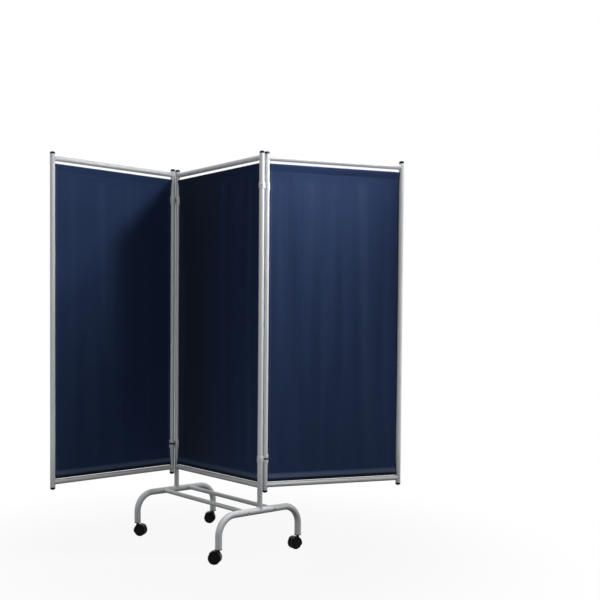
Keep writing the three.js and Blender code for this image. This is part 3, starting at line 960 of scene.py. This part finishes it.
# Streaks that hang from the hem: how many to the metre across and down, where each kind
# starts in the noise, and its depth. Puckers stand at the stitches and die out below them
CREASES = ((21, 1.1, 0, 0.0009), (52, 2.2, 4, 0.00028), (3.1, 2.3, 9, 0.0022))
CREASE_SEED = 7.3
CREASE_EASE = 0.05
PUCKERS = 105
PUCKER_DEPTH = 0.00042
PUCKER_REACH = 0.028
PUCKER_START = 0.006

# The middle curtain's marks from storage, each with its place, half width and strength. They
# bow a little, and most of their strength fades over the upper part of the cloth
STORAGE_MARKS = (
    (0.338, 0.011, 1.0), (0.386, 0.012, -0.9), (0.45, 0.034, 0.5), (0.503, 0.008, -0.5),
    (0.538, 0.013, 1.1),
)
MARK_BOW = 0.003
MARK_BENDS = 7
MARK_FADE = 0.75
MARK_LENGTH = 0.62
MARK_DEPTH = 0.0016
MARK_EASE = 0.03

# How far painted light and shade move the dye's tone, which is 0.5 where it is plain. A band is
# where the tone starts and ends to change, each followed by the width of that change
# Painted light and shade of the folds: the middle curtain's storage marks and the streaks on every
# curtain
MARK_PAINTED_SHADING = 0.085
PAINTED_STREAK = 0.045
PAINTED_FOLD_STREAKS = ((24, 0.9, 0, 1.0), (7, 0.7, 3, 0.7))
TONE_SEED = 5.1
TONE_EASE = 0.04
# Painted light on the bottom hem's up-turned face, and painted shade under its roll round the rod
HEM_PAINTED_LIGHT = 0.34
HEM_LIGHT_BAND = (0.001, 0.005, 0.0195, 0.005)
HEM_PAINTED_SHADE = 0.5
HEM_SHADE_FROM = 0.0215
HEM_SHADE_EASE = 0.004
# Painted shade along the sides beside the posts, and a painted highlight where the turned edge ends
EDGE_PAINTED_SHADE = {"left": (0.4, 0.3), "middle": (0.3, 0.4), "right": (0.4, 0.0)}
EDGE_SHADE_TO = 0.0015
EDGE_SHADE_EASE = 0.0035
EDGE_PAINTED_HIGHLIGHT = 0.07
EDGE_HIGHLIGHT_BAND = (0.004, 0.002, 0.0095, 0.003)
# Painted shade on the middle curtain, stronger towards its left end
PAINTED_CORNER_SHADE = 0.2
CORNER_SHADE_FROM = 0.08
CORNER_SHADE_WIDTH = 0.5


def ease(value):
    """Goes smoothly from nought to one."""
    value = min(max(value, 0), 1)
    return value * value * (3 - 2 * value)


def band(value, start, rise, end, fall):
    """One inside a band and nought outside it, with soft sides."""
    return ease((value - start) / rise) * (1 - ease((value - end) / fall))


def hem_loop(rod_height, seam, way):
    """Half a hem as (side, height) points, from the seam's front round to the rod's far point."""
    depth = abs(rod_height - seam)
    lean = math.asin((CLOTH_LOOP - SEAM_HALF_GAP) / depth)
    touch = (CLOTH_LOOP * math.cos(lean), rod_height - way * CLOTH_LOOP * math.sin(lean))
    line = [
        (
            SEAM_HALF_GAP + (touch[0] - SEAM_HALF_GAP) * step / HEM_STEPS,
            seam + (touch[1] - seam) * step / HEM_STEPS,
        )
        for step in range(HEM_STEPS)
    ]
    for step in range(LOOP_STEPS // 2 + 1):
        angle = -lean + (math.pi / 2 + lean) * step / (LOOP_STEPS // 2)
        line.append(
            (CLOTH_LOOP * math.cos(angle), rod_height + way * CLOTH_LOOP * math.sin(angle))
        )
    return [
        (side * (1 + POCKET_SWELL * ease(abs(height - seam) / POCKET_RISE)), height)
        for side, height in line
    ]


def cloth_line():
    """The cloth's own line, from the top hem's raw edge over, down and round to the bottom's."""
    top = hem_loop(ROD_HEIGHTS[0], SEAM_TOP, 1)
    bottom = hem_loop(ROD_HEIGHTS[1], SEAM_BOTTOM, -1)
    line = [(-SEAM_HALF_GAP, SEAM_TOP - HEM_TURN_UNDER)]
    line += [(-side, height) for side, height in top]
    line += reversed(top[:-1])
    heights = []
    for step in range(1, BODY_ROWS):
        share = step / BODY_ROWS
        bunched = 0.5 - 0.5 * math.cos(math.pi * share)
        share = (1 - ROWS_BUNCH) * share + ROWS_BUNCH * bunched
        heights.append(SEAM_TOP + (SEAM_BOTTOM - SEAM_TOP) * share)
    for hinge in HINGE_HEIGHTS.values():
        reach = HINGE_ZONE + HINGE_EASE
        heights = [height for height in heights if abs(height - hinge) > reach + HINGE_ROW]
        count = round(reach / HINGE_ROW)
        heights += [hinge + HINGE_ROW * step for step in range(-count, count + 1)]
    for height in sorted(heights, reverse=True):
        near = min(SEAM_TOP - height, height - SEAM_BOTTOM)
        line.append((SEAM_HALF_GAP * (1 - ease(near / SEAM_CLOSES)), height))
    line += bottom
    line += [(-side, height) for side, height in reversed(bottom[:-1])]
    line.append((-SEAM_HALF_GAP, SEAM_BOTTOM + HEM_TURN_UNDER))
    return line


def cloth_columns():
    """Where each column lies: its share of the width, metres in from an edge, and its layer."""
    turn = [(0.0, SIDE_HEM * share, 1.0) for share in (1, 0.66, 0.33)]
    turn += [(0.0, SHARP_TURN, 1.0), (0.0, 0.0, 0.5), (0.0, SHARP_TURN, 0.0)]
    flat = round((PITCH - 2 * EDGE_CLEAR) / COLUMN)
    middle = [(step / flat, 0.0, 0.0) for step in range(1, flat)]
    return turn + middle + [(1.0, -inward, layer) for _, inward, layer in reversed(turn)]


def hinge_ease(height):
    """How far the cloth's edge draws in beside a hinge bracket."""
    away = min(abs(height - hinge) for hinge in HINGE_HEIGHTS.values())
    return 1 - ease((away - HINGE_ZONE) / HINGE_EASE)


def folds(panel, x, up):
    """The broad upright folds, dying out towards both rods."""
    count = (PITCH - 2 * FOLD_START) / FOLD_SPACING
    across = (x - FOLD_START) / (PITCH - 2 * FOLD_START)
    turn = FOLD_TURN[panel]
    hold = math.sin(math.pi * up) ** 2
    main = math.sin(2 * math.pi * count * across + turn)
    slow = math.sin(math.pi * count * across + 2 * turn + up)
    return FOLD_DEPTH[panel] * hold * (2 * main + slow) / 3


def storage_marks(x, height):
    """The upright marks that the middle curtain keeps from its storage, fading downwards."""
    bow = x + MARK_BOW * math.sin(MARK_BENDS * height)
    marks = sum(
        strength * math.exp(-(((bow - place) / width) ** 2))
        for place, width, strength in STORAGE_MARKS
    )
    return marks * (1 - MARK_FADE * ease((SEAM_TOP - height) / MARK_LENGTH))


def creases(panel, x, height):
    """The finer marks: soft streaks that hang from the hem, and puckers at its stitches."""
    seed = CREASE_SEED * FOLD_TURN[panel]
    body = ease((SEAM_TOP - height) / CREASE_EASE) * ease((height - SEAM_BOTTOM) / CREASE_EASE)
    move = body * sum(
        depth * noise.noise(Vector((x * across, height * down, seed + start)))
        for across, down, start, depth in CREASES
    )
    near = min(SEAM_TOP - height, height - SEAM_BOTTOM)
    if near > 0:
        pucker = noise.noise(Vector((x * PUCKERS, seed, 2.0 + (height > 1))))
        fade = math.exp(-near / PUCKER_REACH) * ease(near / PUCKER_START)
        move += PUCKER_DEPTH * pucker * fade
    if panel == "middle":
        move += MARK_DEPTH * storage_marks(x, height) * ease((SEAM_TOP - height) / MARK_EASE)
    return move


def cloth_point(panel, column, line, index):
    """A point of the hung cloth in its panel's frame."""
    share, inward, layer = column
    side, height = line[index]
    before, after = line[max(index - 1, 0)], line[min(index + 1, len(line) - 1)]
    run = Vector((after[0] - before[0], after[1] - before[1]))
    out = Vector((-run.y, run.x)).normalized()
    draw = hinge_ease(height)
    left = EDGE_CLEAR + (EDGE_AT_HINGE - EDGE_CLEAR) * draw
    right = PITCH - EDGE_CLEAR
    if panel == "middle":
        right -= (EDGE_AT_HINGE - EDGE_CLEAR) * draw
    x = left + (right - left) * share + inward
    up = min(max((height - SEAM_BOTTOM) / (SEAM_TOP - SEAM_BOTTOM), 0), 1)
    away = side - layer * SIDE_LAP * out.x
    height -= layer * SIDE_LAP * out.y
    depth = FRONT[panel] * away + folds(panel, x, up) + creases(panel, x, height)
    return Vector((x, depth, height))


line = cloth_line()
columns = cloth_columns()
seam_rows = (
    len(line) - 2 * (HEM_STEPS + LOOP_STEPS // 2 + 1),
    len(line) - 2 - HEM_STEPS - LOOP_STEPS // 2,
)
lengths = [0.0]
for before, after in zip(line, line[1:]):
    lengths.append(lengths[-1] + math.dist(before, after))
widths = [0.0]
for before, after in zip(columns, columns[1:]):
    widths.append(
        widths[-1] + math.hypot(
            (after[0] - before[0]) * (PITCH - 2 * EDGE_CLEAR) + after[1] - before[1],
            (after[2] - before[2]) * SIDE_LAP,
        )
    )
CUT_WIDTH = widths[-1]


def painted_cloth_shading(panel, column, index, spread):
    """The painted light and shade on the dye, from 0 to 1 with 0.5 plain, for the colour to follow.
    """
    share = column[0]
    height = line[index][1]
    edge = min(spread, CUT_WIDTH - spread) - SIDE_HEM
    tone = 0.5
    # The doubled bottom hem is painted paler, a painted light on its up-turned face, and its roll
    # round the rod is painted dark, a painted shade
    if seam_rows[0] <= index <= seam_rows[1]:
        down = lengths[index] - lengths[seam_rows[0]]
        tone += HEM_PAINTED_LIGHT * band(down, *HEM_LIGHT_BAND)
        tone -= HEM_PAINTED_SHADE * ease((down - HEM_SHADE_FROM) / HEM_SHADE_EASE)
    # Painted shade along the sides beside the posts, then a painted highlight as a paler line where
    # the turned edge ends
    rim = EDGE_PAINTED_SHADE[panel][0 if share < 0.5 else 1]
    tone -= rim * (1 - ease((edge - EDGE_SHADE_TO) / EDGE_SHADE_EASE))
    tone += EDGE_PAINTED_HIGHLIGHT * band(edge, *EDGE_HIGHLIGHT_BAND)
    # Painted light and shade of the folds, as upright streaks
    x = share * (PITCH - 2 * EDGE_CLEAR)
    seed = TONE_SEED * FOLD_TURN[panel]
    body = ease((SEAM_TOP - height) / TONE_EASE) * ease((height - SEAM_BOTTOM) / TONE_EASE)
    for across, fall, start, strength in PAINTED_FOLD_STREAKS:
        streak = noise.noise(Vector((x * across, height * fall, seed + start)))
        tone += body * PAINTED_STREAK * strength * streak
    # The middle curtain gets the painted light and shade of its storage marks, and painted shade
    # growing towards its left end
    if panel == "middle":
        tone += body * MARK_PAINTED_SHADING * storage_marks(x, height)
        tone -= PAINTED_CORNER_SHADE * (1 - ease((x - CORNER_SHADE_FROM) / CORNER_SHADE_WIDTH))
    return min(max(tone, 0), 1)


# Vinyl-coated polyester cloth: matt navy with the ground weave showing through the coat as
# a fine even grain. The threads are 0.6 mm apart and are drawn at 1.8 mm so that they show.
# The seams' stitches are 3 mm long and are drawn at 5 mm
NAVY = "#33456C"
NAVY_DEEP = "#2A3D64"
NAVY_PALE = "#415F93"
THREAD_SPACING = 0.0018
STITCH_LENGTH = 0.005
STITCH_SHARE = 0.64
STITCH_WIDTH = 0.0012
STITCH_THREAD = "#4E5F8E"
# Painted light, painted shade turned greyer, and the deepest painted shade, which the tone mixes in
PAINTED_LIGHT_TINT = "#70809F"
SHADED = "#12141C"
PAINTED_SHADE_GREY = "#2B3240"
DYE_DRIFT = 0.16

coated_cloth = new_finish("vinyl coated polyester cloth")
spot = add_node(coated_cloth, "ShaderNodeTexCoord", {})
drift = add_node(
    coated_cloth, "ShaderNodeTexNoise", {"Scale": 1 / DYE_DRIFT, "Detail": 3.0},
    {"Vector": (spot, "UV")},
)
ground = add_node(
    coated_cloth, "ShaderNodeMix",
    {"data_type": "RGBA", 6: linear(NAVY_DEEP), 7: linear(NAVY)},
    {0: (drift, "Fac")},
)
warp, weft = (
    add_node(
        coated_cloth, "ShaderNodeTexWave",
        {"wave_type": "BANDS", "bands_direction": way, "Distortion": 0.6, "Detail": 1.0,
         "Detail Scale": 2.0, "Scale": math.pi / 10 / THREAD_SPACING},
        {"Vector": (spot, "UV")},
    )
    for way in "XY"
)
weave = add_node(
    coated_cloth, "ShaderNodeMath", {"operation": "MULTIPLY"},
    {0: (warp, "Fac"), 1: (weft, "Fac")},
)
raised = add_node(
    coated_cloth, "ShaderNodeMapRange", {"To Max": 0.3}, {"Value": (weave, "Value")}
)
navy = add_node(
    coated_cloth, "ShaderNodeMix", {"data_type": "RGBA", 7: linear(NAVY_PALE)},
    {0: (raised, "Result"), 6: (ground, 2)},
)
tone = add_node(coated_cloth, "ShaderNodeAttribute", {"attribute_name": "tone"})
pale, low_tone, deep = (
    add_node(
        coated_cloth, "ShaderNodeMapRange", {"From Min": start, "From Max": full},
        {"Value": (tone, "Fac")},
    )
    for start, full in ((0.5, 1.0), (0.5, 0.25), (0.25, 0.0))
)
# Painted shade: below plain tone, the middle curtain's front alone, which faces the middle panel's
# -Y, is painted greyer
side = add_node(coated_cloth, "ShaderNodeSeparateXYZ", {}, {0: (spot, "Normal")})
front = add_node(
    coated_cloth, "ShaderNodeMapRange", {"From Min": 0.2, "From Max": -0.6}, {"Value": (side, "Y")}
)
painted_shade_share = add_node(
    coated_cloth, "ShaderNodeMath", {"operation": "MULTIPLY"},
    {0: (low_tone, "Result"), 1: (front, "Result")},
)
# The tone mixes in painted light above plain and painted shade below it
painted_light_mix = add_node(
    coated_cloth, "ShaderNodeMix", {"data_type": "RGBA", 7: linear(PAINTED_LIGHT_TINT)},
    {0: (pale, "Result"), 6: (navy, 2)},
)
painted_shade_mix = add_node(
    coated_cloth, "ShaderNodeMix", {"data_type": "RGBA", 7: linear(PAINTED_SHADE_GREY)},
    {0: (painted_shade_share, "Value"), 6: (painted_light_mix, 2)},
)
shaded = add_node(
    coated_cloth, "ShaderNodeMix", {"data_type": "RGBA", 7: linear(SHADED)},
    {0: (deep, "Result"), 6: (painted_shade_mix, 2)},
)
rows = add_node(coated_cloth, "ShaderNodeSeparateXYZ", {}, {0: (spot, "UV")})
top_seam = lengths[2 * (HEM_STEPS + LOOP_STEPS // 2) + 1]
side_seam = SIDE_HEM + STITCH_INWARD
stitches = None
for across, along, place in (
    ("Y", "X", top_seam), ("Y", "X", lengths[seam_rows[0]]),
    ("X", "Y", side_seam), ("X", "Y", CUT_WIDTH - side_seam),
):
    row = add_node(
        coated_cloth, "ShaderNodeMath", {"operation": "COMPARE", 1: place, 2: STITCH_WIDTH / 2},
        {0: (rows, across)},
    )
    count = add_node(
        coated_cloth, "ShaderNodeMath", {"operation": "MULTIPLY", 1: 1 / STITCH_LENGTH},
        {0: (rows, along)},
    )
    beat = add_node(
        coated_cloth, "ShaderNodeMath", {"operation": "FRACT"}, {0: (count, "Value")}
    )
    dash = add_node(
        coated_cloth, "ShaderNodeMath", {"operation": "LESS_THAN", 1: STITCH_SHARE},
        {0: (beat, "Value")},
    )
    sewn = add_node(
        coated_cloth, "ShaderNodeMath", {"operation": "MULTIPLY"},
        {0: (row, "Value"), 1: (dash, "Value")},
    )
    stitches = sewn if stitches is None else add_node(
        coated_cloth, "ShaderNodeMath", {"operation": "MAXIMUM"},
        {0: (stitches, "Value"), 1: (sewn, "Value")},
    )
dyed = add_node(
    coated_cloth, "ShaderNodeMix", {"data_type": "RGBA", 7: linear(STITCH_THREAD)},
    {0: (stitches, "Value"), 6: (shaded, 2)},
)
relief = add_node(
    coated_cloth, "ShaderNodeMath", {"operation": "MULTIPLY_ADD", 1: 0.8},
    {0: (stitches, "Value"), 2: (weave, "Value")},
)
rough = add_node(
    coated_cloth, "ShaderNodeMapRange", {"To Min": 0.72, "To Max": 0.86},
    {"Value": (drift, "Fac")},
)
thread = add_node(
    coated_cloth, "ShaderNodeBump", {"Strength": 0.3, "Distance": 0.00015},
    {"Height": (relief, "Value")},
)
cloth = add_node(
    coated_cloth, "ShaderNodeBsdfPrincipled", {"Specular IOR Level": 0.12},
    {"Base Color": (dyed, 2), "Roughness": (rough, "Result"), "Normal": (thread, "Normal")},
)
add_node(coated_cloth, "ShaderNodeOutputMaterial", {}, {"Surface": (cloth, "BSDF")})

for panel in PANELS:
    clear_hands()
    bpy.ops.mesh.primitive_grid_add(
        x_subdivisions=len(columns) - 1, y_subdivisions=len(line) - 1, size=1
    )
    curtain = bpy.context.object
    whole = []
    for corner in curtain.data.vertices:
        column = round((corner.co.x + 0.5) * (len(columns) - 1))
        row = round((corner.co.y + 0.5) * (len(line) - 1))
        whole.append((column, row))
    for loop in curtain.data.loops:
        column, row = whole[loop.vertex_index]
        curtain.data.uv_layers[0].data[loop.index].uv = (widths[column], lengths[row])
    tones = curtain.data.attributes.new("tone", "FLOAT", "POINT")
    for index, (corner, (column, row)) in enumerate(zip(curtain.data.vertices, whole)):
        corner.co = cloth_point(panel, columns[column], line, row)
        tones.data[index].value = painted_cloth_shading(panel, columns[column], row, widths[column])
    settle(curtain, place_of[panel])
    bake_modifier(curtain, "SOLIDIFY", thickness=CLOTH_THICKNESS, offset=0, use_even_offset=True)
    dress(
        curtain, f"curtain.{panel}", BODY[panel], "navy_vinyl", coated_cloth,
        f"{panel}_curtain", smooth=60,
    )

# ---------------------------------------------------------------------------------------
# End caps. Black domed polyethylene plugs, as wide as the tube, with a finned shank that
# grips inside it: one on every post's top, and on the lower end of the wings' posts.

CAP_SHOULDER = 0.005
CAP_DOME = 0.006
CAP_HEIGHT = CAP_SHOULDER + CAP_DOME
CAP_SHANK = 0.016
CAP_SHANK_RADIUS = 0.0092
CAP_RIM = 0.0005
DOME_STEPS = 9
FIN_EVERY = 0.004
FIN_PROUD = 0.0005
FIN_SLOPE = 0.8
# The dome stops short of a quarter circle by a part of a step, which leaves a small flat
DOME_SPAN = DOME_STEPS + 0.6

# Moulded polyethylene, black: softer and duller than the nylon, with handling scuffs
CAP_BLACK = "#0B0B0C"
CAP_SCUFF = "#1B1B1D"
SCUFF_PATCH = 0.006

cap_plastic = moulded_finish(
    "moulded black polyethylene", (CAP_BLACK, CAP_SCUFF),
    patch={"Scale": 1 / SCUFF_PATCH, "Detail": 4.0},
    wear={"From Min": 0.55, "From Max": 0.8, "To Max": 0.5},
    gloss={"To Min": 0.36, "To Max": 0.52},
    body={"IOR": 1.51, "Specular IOR Level": 0.13},
)


def swell(share):
    """Scales what is selected across the piece."""
    bpy.ops.transform.resize(value=(share, share, 1))


cap_model = edit(round_bar(POST_RADIUS, CAP_SHOULDER, TUBE_SIDES, (0, 0, CAP_SHOULDER / 2)))
pick("faces", lambda middle, face: face.normal.z > END_FACE)
radius = POST_RADIUS
for step in range(1, DOME_STEPS + 1):
    angle = math.pi / 2 * step / DOME_SPAN
    pull(0, 0, CAP_DOME * (math.sin(angle) - math.sin(angle - math.pi / 2 / DOME_SPAN)))
    next_radius = POST_RADIUS * math.cos(angle)
    swell(next_radius / radius)
    radius = next_radius
pick("faces", lambda middle, face: face.normal.z < -END_FACE)
bpy.ops.mesh.inset(thickness=POST_RADIUS - CAP_SHANK_RADIUS)
grip = 1 + FIN_PROUD / CAP_SHANK_RADIUS
for _ in range(int(CAP_SHANK / FIN_EVERY)):
    pull(0, 0, -FIN_EVERY * FIN_SLOPE)
    swell(grip)
    pull(0, 0, -FIN_EVERY * (1 - FIN_SLOPE))
    swell(1 / grip)
pick(
    "edges",
    lambda middle, edge: abs(middle.z) < NEAR
    and all(abs(corner.co.xy.length - POST_RADIUS) < NEAR for corner in edge.verts),
)
bpy.ops.mesh.bevel(offset=CAP_RIM, segments=2)
take(cap_model)

turned_down = Matrix.Rotation(math.pi, 4, "X")
for panel, posts in PANELS.items():
    for index, post_name in enumerate(posts):
        for end in ("top",) if panel == "middle" else ("top", "bottom"):
            node = f"{post_name}_{end}_cap"
            low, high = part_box(node)
            foot = high.z - CAP_HEIGHT if end == "top" else low.z + CAP_HEIGHT
            spot = place_of[panel] @ Matrix.Translation((index * PITCH, 0, foot))
            cap = twin(cap_model, spot if end == "top" else spot @ turned_down)
            dress(cap, f"cap.{post_name}_{end}", BODY[panel], "black_plastic", cap_plastic, node)
bpy.data.objects.remove(cap_model)

# ---------------------------------------------------------------------------------------
# Hinge brackets. A steel collar pinched round the middle panel's post and two collars
# round the wing's, on one web. A screw locks the collar and another goes through the web.
# The wing's weight rests in the lower brackets, each with a black nylon ring in its notch.

CLAMP_BORE = 0.0113
CLAMP_RADIUS = 0.0131
WING_BORE = 0.0117
WING_RADIUS = 0.0134
BRACKET_HALF = 0.013
HINGE_PITCH = 0.027
WEB_WIDTH = 0.012
NOTCH_HALF = 0.004
BRACKET_EDGE = 0.0011
NOTCH_CLEAR = 0.0004
RING_RADIUS = 0.013
RING_WALL = 0.001
RING_HALF = 0.0036
RING_EDGE = 0.0003
LOCK_SCREW_TURN = math.radians(45)


def disc(radius, half, y):
    """A disc on an upright axis, as stock or as a cutter for the bracket."""
    return round_bar(radius, 2 * half, 48, (0, y, 0))


bracket_model = disc(CLAMP_RADIUS, BRACKET_HALF, 0)
clear_hands()
bpy.ops.mesh.primitive_cube_add(size=1, location=(0, HINGE_PITCH / 2, 0))
web_plate = bpy.context.object
web_plate.scale = (WEB_WIDTH, HINGE_PITCH, 2 * BRACKET_HALF)
settle(web_plate)
merge(bracket_model, disc(WING_RADIUS, BRACKET_HALF, HINGE_PITCH), web_plate)
merge(
    bracket_model, disc(CLAMP_BORE, 2 * BRACKET_HALF, 0),
    disc(WING_BORE, 2 * BRACKET_HALF, HINGE_PITCH),
    disc(WING_RADIUS + NOTCH_CLEAR, NOTCH_HALF, HINGE_PITCH), operation="DIFFERENCE",
)
bake_modifier(
    bracket_model, "BEVEL", width=BRACKET_EDGE, segments=2, limit_method="ANGLE",
    angle_limit=math.radians(55),
)

ring_model = round_bar(RING_RADIUS, 2 * RING_HALF, 48, (0, HINGE_PITCH, 0), ends="NOTHING")
turn_outwards(ring_model, lambda middle: Vector((0, HINGE_PITCH, middle.z)))
bake_modifier(ring_model, "SOLIDIFY", thickness=RING_WALL, offset=-1)
bake_modifier(
    ring_model, "BEVEL", width=RING_EDGE, segments=2, limit_method="ANGLE",
    angle_limit=math.radians(50),
)

for side, half_turn in (("left", math.pi), ("right", 0)):
    for level, height in HINGE_HEIGHTS.items():
        place = Matrix.Translation((END_X[side], PANEL_Y, height)) @ Matrix.Rotation(
            half_turn, 4, "Z"
        )
        node = f"{side}_{level}_hinge_bracket"
        bracket = twin(bracket_model, place)
        dress(bracket, f"bracket.{side}_{level}", STAND, PAINT_SLOT, powder_coat, node)
        if level == "lower":
            ring = twin(ring_model, place)
            dress(ring, f"ring.{side}_{level}", STAND, "black_plastic", nylon)
        outward = Matrix.Rotation(LOCK_SCREW_TURN, 4, "Z")
        seat = Matrix.Translation((0, -CLAMP_RADIUS, 0)) @ Matrix.Rotation(math.pi / 2, 4, "X")
        lock = twin(screw_model, place @ outward @ seat)
        dress(lock, f"lock_screw.{side}_{level}", STAND, "zinc_steel", zinc_plate)
        web_face = Matrix.Translation((-WEB_WIDTH / 2, HINGE_PITCH / 2, 0))
        through = twin(screw_model, place @ web_face @ Matrix.Rotation(-math.pi / 2, 4, "Y"))
        dress(through, f"web_screw.{side}_{level}", STAND, "zinc_steel", zinc_plate)
for model in (bracket_model, ring_model, screw_model):
    bpy.data.objects.remove(model)

# ---------------------------------------------------------------------------------------
# The studio: a pale floor, a key lamp high on the right that throws the middle panel's
# shadow on the left wing, a side lamp for the posts at the right corner, a low fill for the
# right wing, a soft top light and even sky.

# Each lamp's place, the point it is aimed at, its width, its spread in degrees, its watts
LAMPS = {
    "key": ((1.31, 0.586, 2.25), (-0.422, -0.75, 1.75), 0.25, 60, 2.6),
    "side": ((0.876, 0.808, 2.376), (0.34, 0.031, 1.211), 0.25, 47.5, 2.15),
    "fill": ((1.6, 1.6, 1.1), (0.33, 0.34, 0.9), 0.8, 120, 4.0),
    "top": ((0.1, -0.35, 6.5), (0.1, -0.2, 0.0), 1.5, 60, 6),
}
SKY_LEVEL = 0.09
FLOOR_GREY = "#C9C9C8"
FLOOR_SHOW = 0.08
FLOOR_NEAR = 0.5
FLOOR_FAR = 1.7
FLOOR_MOTTLE = 1 / 3


def rays_that_see(holder):
    """The rays that see the backdrop: the camera's, and those of gloss and of clear pieces."""
    rays = add_node(holder, "ShaderNodeLightPath", {})
    seen = add_node(
        holder, "ShaderNodeMath", {"operation": "MAXIMUM"},
        {0: (rays, "Is Camera Ray"), 1: (rays, "Is Glossy Ray")},
    )
    return add_node(
        holder, "ShaderNodeMath", {"operation": "MAXIMUM"},
        {0: (seen, "Value"), 1: (rays, "Is Transmission Ray")},
    )


clear_hands()
bpy.ops.mesh.primitive_plane_add(size=30, location=(0, 0, 0))
floor = bpy.context.object
floor.name = "studio_floor"
floor_paint = new_finish("pale studio floor")
spot = add_node(floor_paint, "ShaderNodeTexCoord", {})
cloud = add_node(
    floor_paint, "ShaderNodeTexNoise", {"Scale": 1 / FLOOR_MOTTLE, "Detail": 2.0},
    {"Vector": (spot, "Object")},
)
rough = add_node(
    floor_paint, "ShaderNodeMapRange", {"To Min": 0.85, "To Max": 0.95}, {"Value": (cloud, "Fac")}
)
matt = add_node(
    floor_paint, "ShaderNodeBsdfDiffuse", {"Color": linear(FLOOR_GREY)},
    {"Roughness": (rough, "Result")},
)
glow = add_node(floor_paint, "ShaderNodeEmission", {"Strength": 1.0})
seen = rays_that_see(floor_paint)
reach = add_node(
    floor_paint, "ShaderNodeVectorMath", {"operation": "LENGTH"}, {0: (spot, "Object")}
)
white = add_node(
    floor_paint, "ShaderNodeMapRange",
    {"interpolation_type": "SMOOTHSTEP", "From Min": FLOOR_NEAR, "From Max": FLOOR_FAR,
     "To Min": 1 - FLOOR_SHOW, "To Max": 1.0},
    {"Value": (reach, "Value")},
)
share = add_node(
    floor_paint, "ShaderNodeMath", {"operation": "MULTIPLY"},
    {0: (seen, "Value"), 1: (white, "Result")},
)
blend = add_node(
    floor_paint, "ShaderNodeMixShader", {}, {0: (share, "Value"), 1: (matt, 0), 2: (glow, 0)}
)
add_node(floor_paint, "ShaderNodeOutputMaterial", {}, {"Surface": (blend, 0)})
floor.data.materials.append(floor_paint)

world = bpy.data.worlds.new("studio")
bpy.context.scene.world = world
world.use_nodes = True
world.node_tree.nodes.clear()
seen = rays_that_see(world)
level = add_node(
    world, "ShaderNodeMapRange", {"To Min": SKY_LEVEL, "To Max": 1.0}, {"Value": (seen, "Value")}
)
sky = add_node(
    world, "ShaderNodeBackground", {"Color": linear("#FFFFFF")}, {"Strength": (level, "Result")}
)
add_node(world, "ShaderNodeOutputWorld", {}, {"Surface": (sky, "Background")})

for name, (place, aim, width, spread, watts) in LAMPS.items():
    lamp_data = bpy.data.lights.new(name, "AREA")
    lamp_data.shape = "DISK"
    lamp_data.size = width
    lamp_data.spread = math.radians(spread)
    lamp_data.energy = watts
    lamp = bpy.data.objects.new(name, lamp_data)
    bpy.context.scene.collection.objects.link(lamp)
    lamp.location = place
    lamp.rotation_euler = (Vector(aim) - Vector(place)).to_track_quat("-Z", "Y").to_euler()

# The camera stands where the photograph was taken from
CAMERA_AT = (3.12675, -2.34607, 0.98270)
CAMERA_YAW = -0.88668
CAMERA_PITCH = 0.03186
CAMERA_ROLL = 0.00673
CAMERA_LENS = 53.69
CAMERA_SHIFT = (0.0636, 0.0857)

camera_data = bpy.data.cameras.new("camera")
camera_data.sensor_width = 36
camera_data.lens = CAMERA_LENS
camera_data.shift_x, camera_data.shift_y = CAMERA_SHIFT
camera = bpy.data.objects.new("camera", camera_data)
bpy.context.scene.collection.objects.link(camera)
camera.location = CAMERA_AT
camera.rotation_euler = (
    Matrix.Rotation(-CAMERA_YAW, 3, "Z")
    @ Matrix.Rotation(math.pi / 2 - CAMERA_PITCH, 3, "X")
    @ Matrix.Rotation(CAMERA_ROLL, 3, "Z")
).to_euler()
bpy.context.scene.camera = camera
bpy.context.scene.view_settings.view_transform = "Standard"
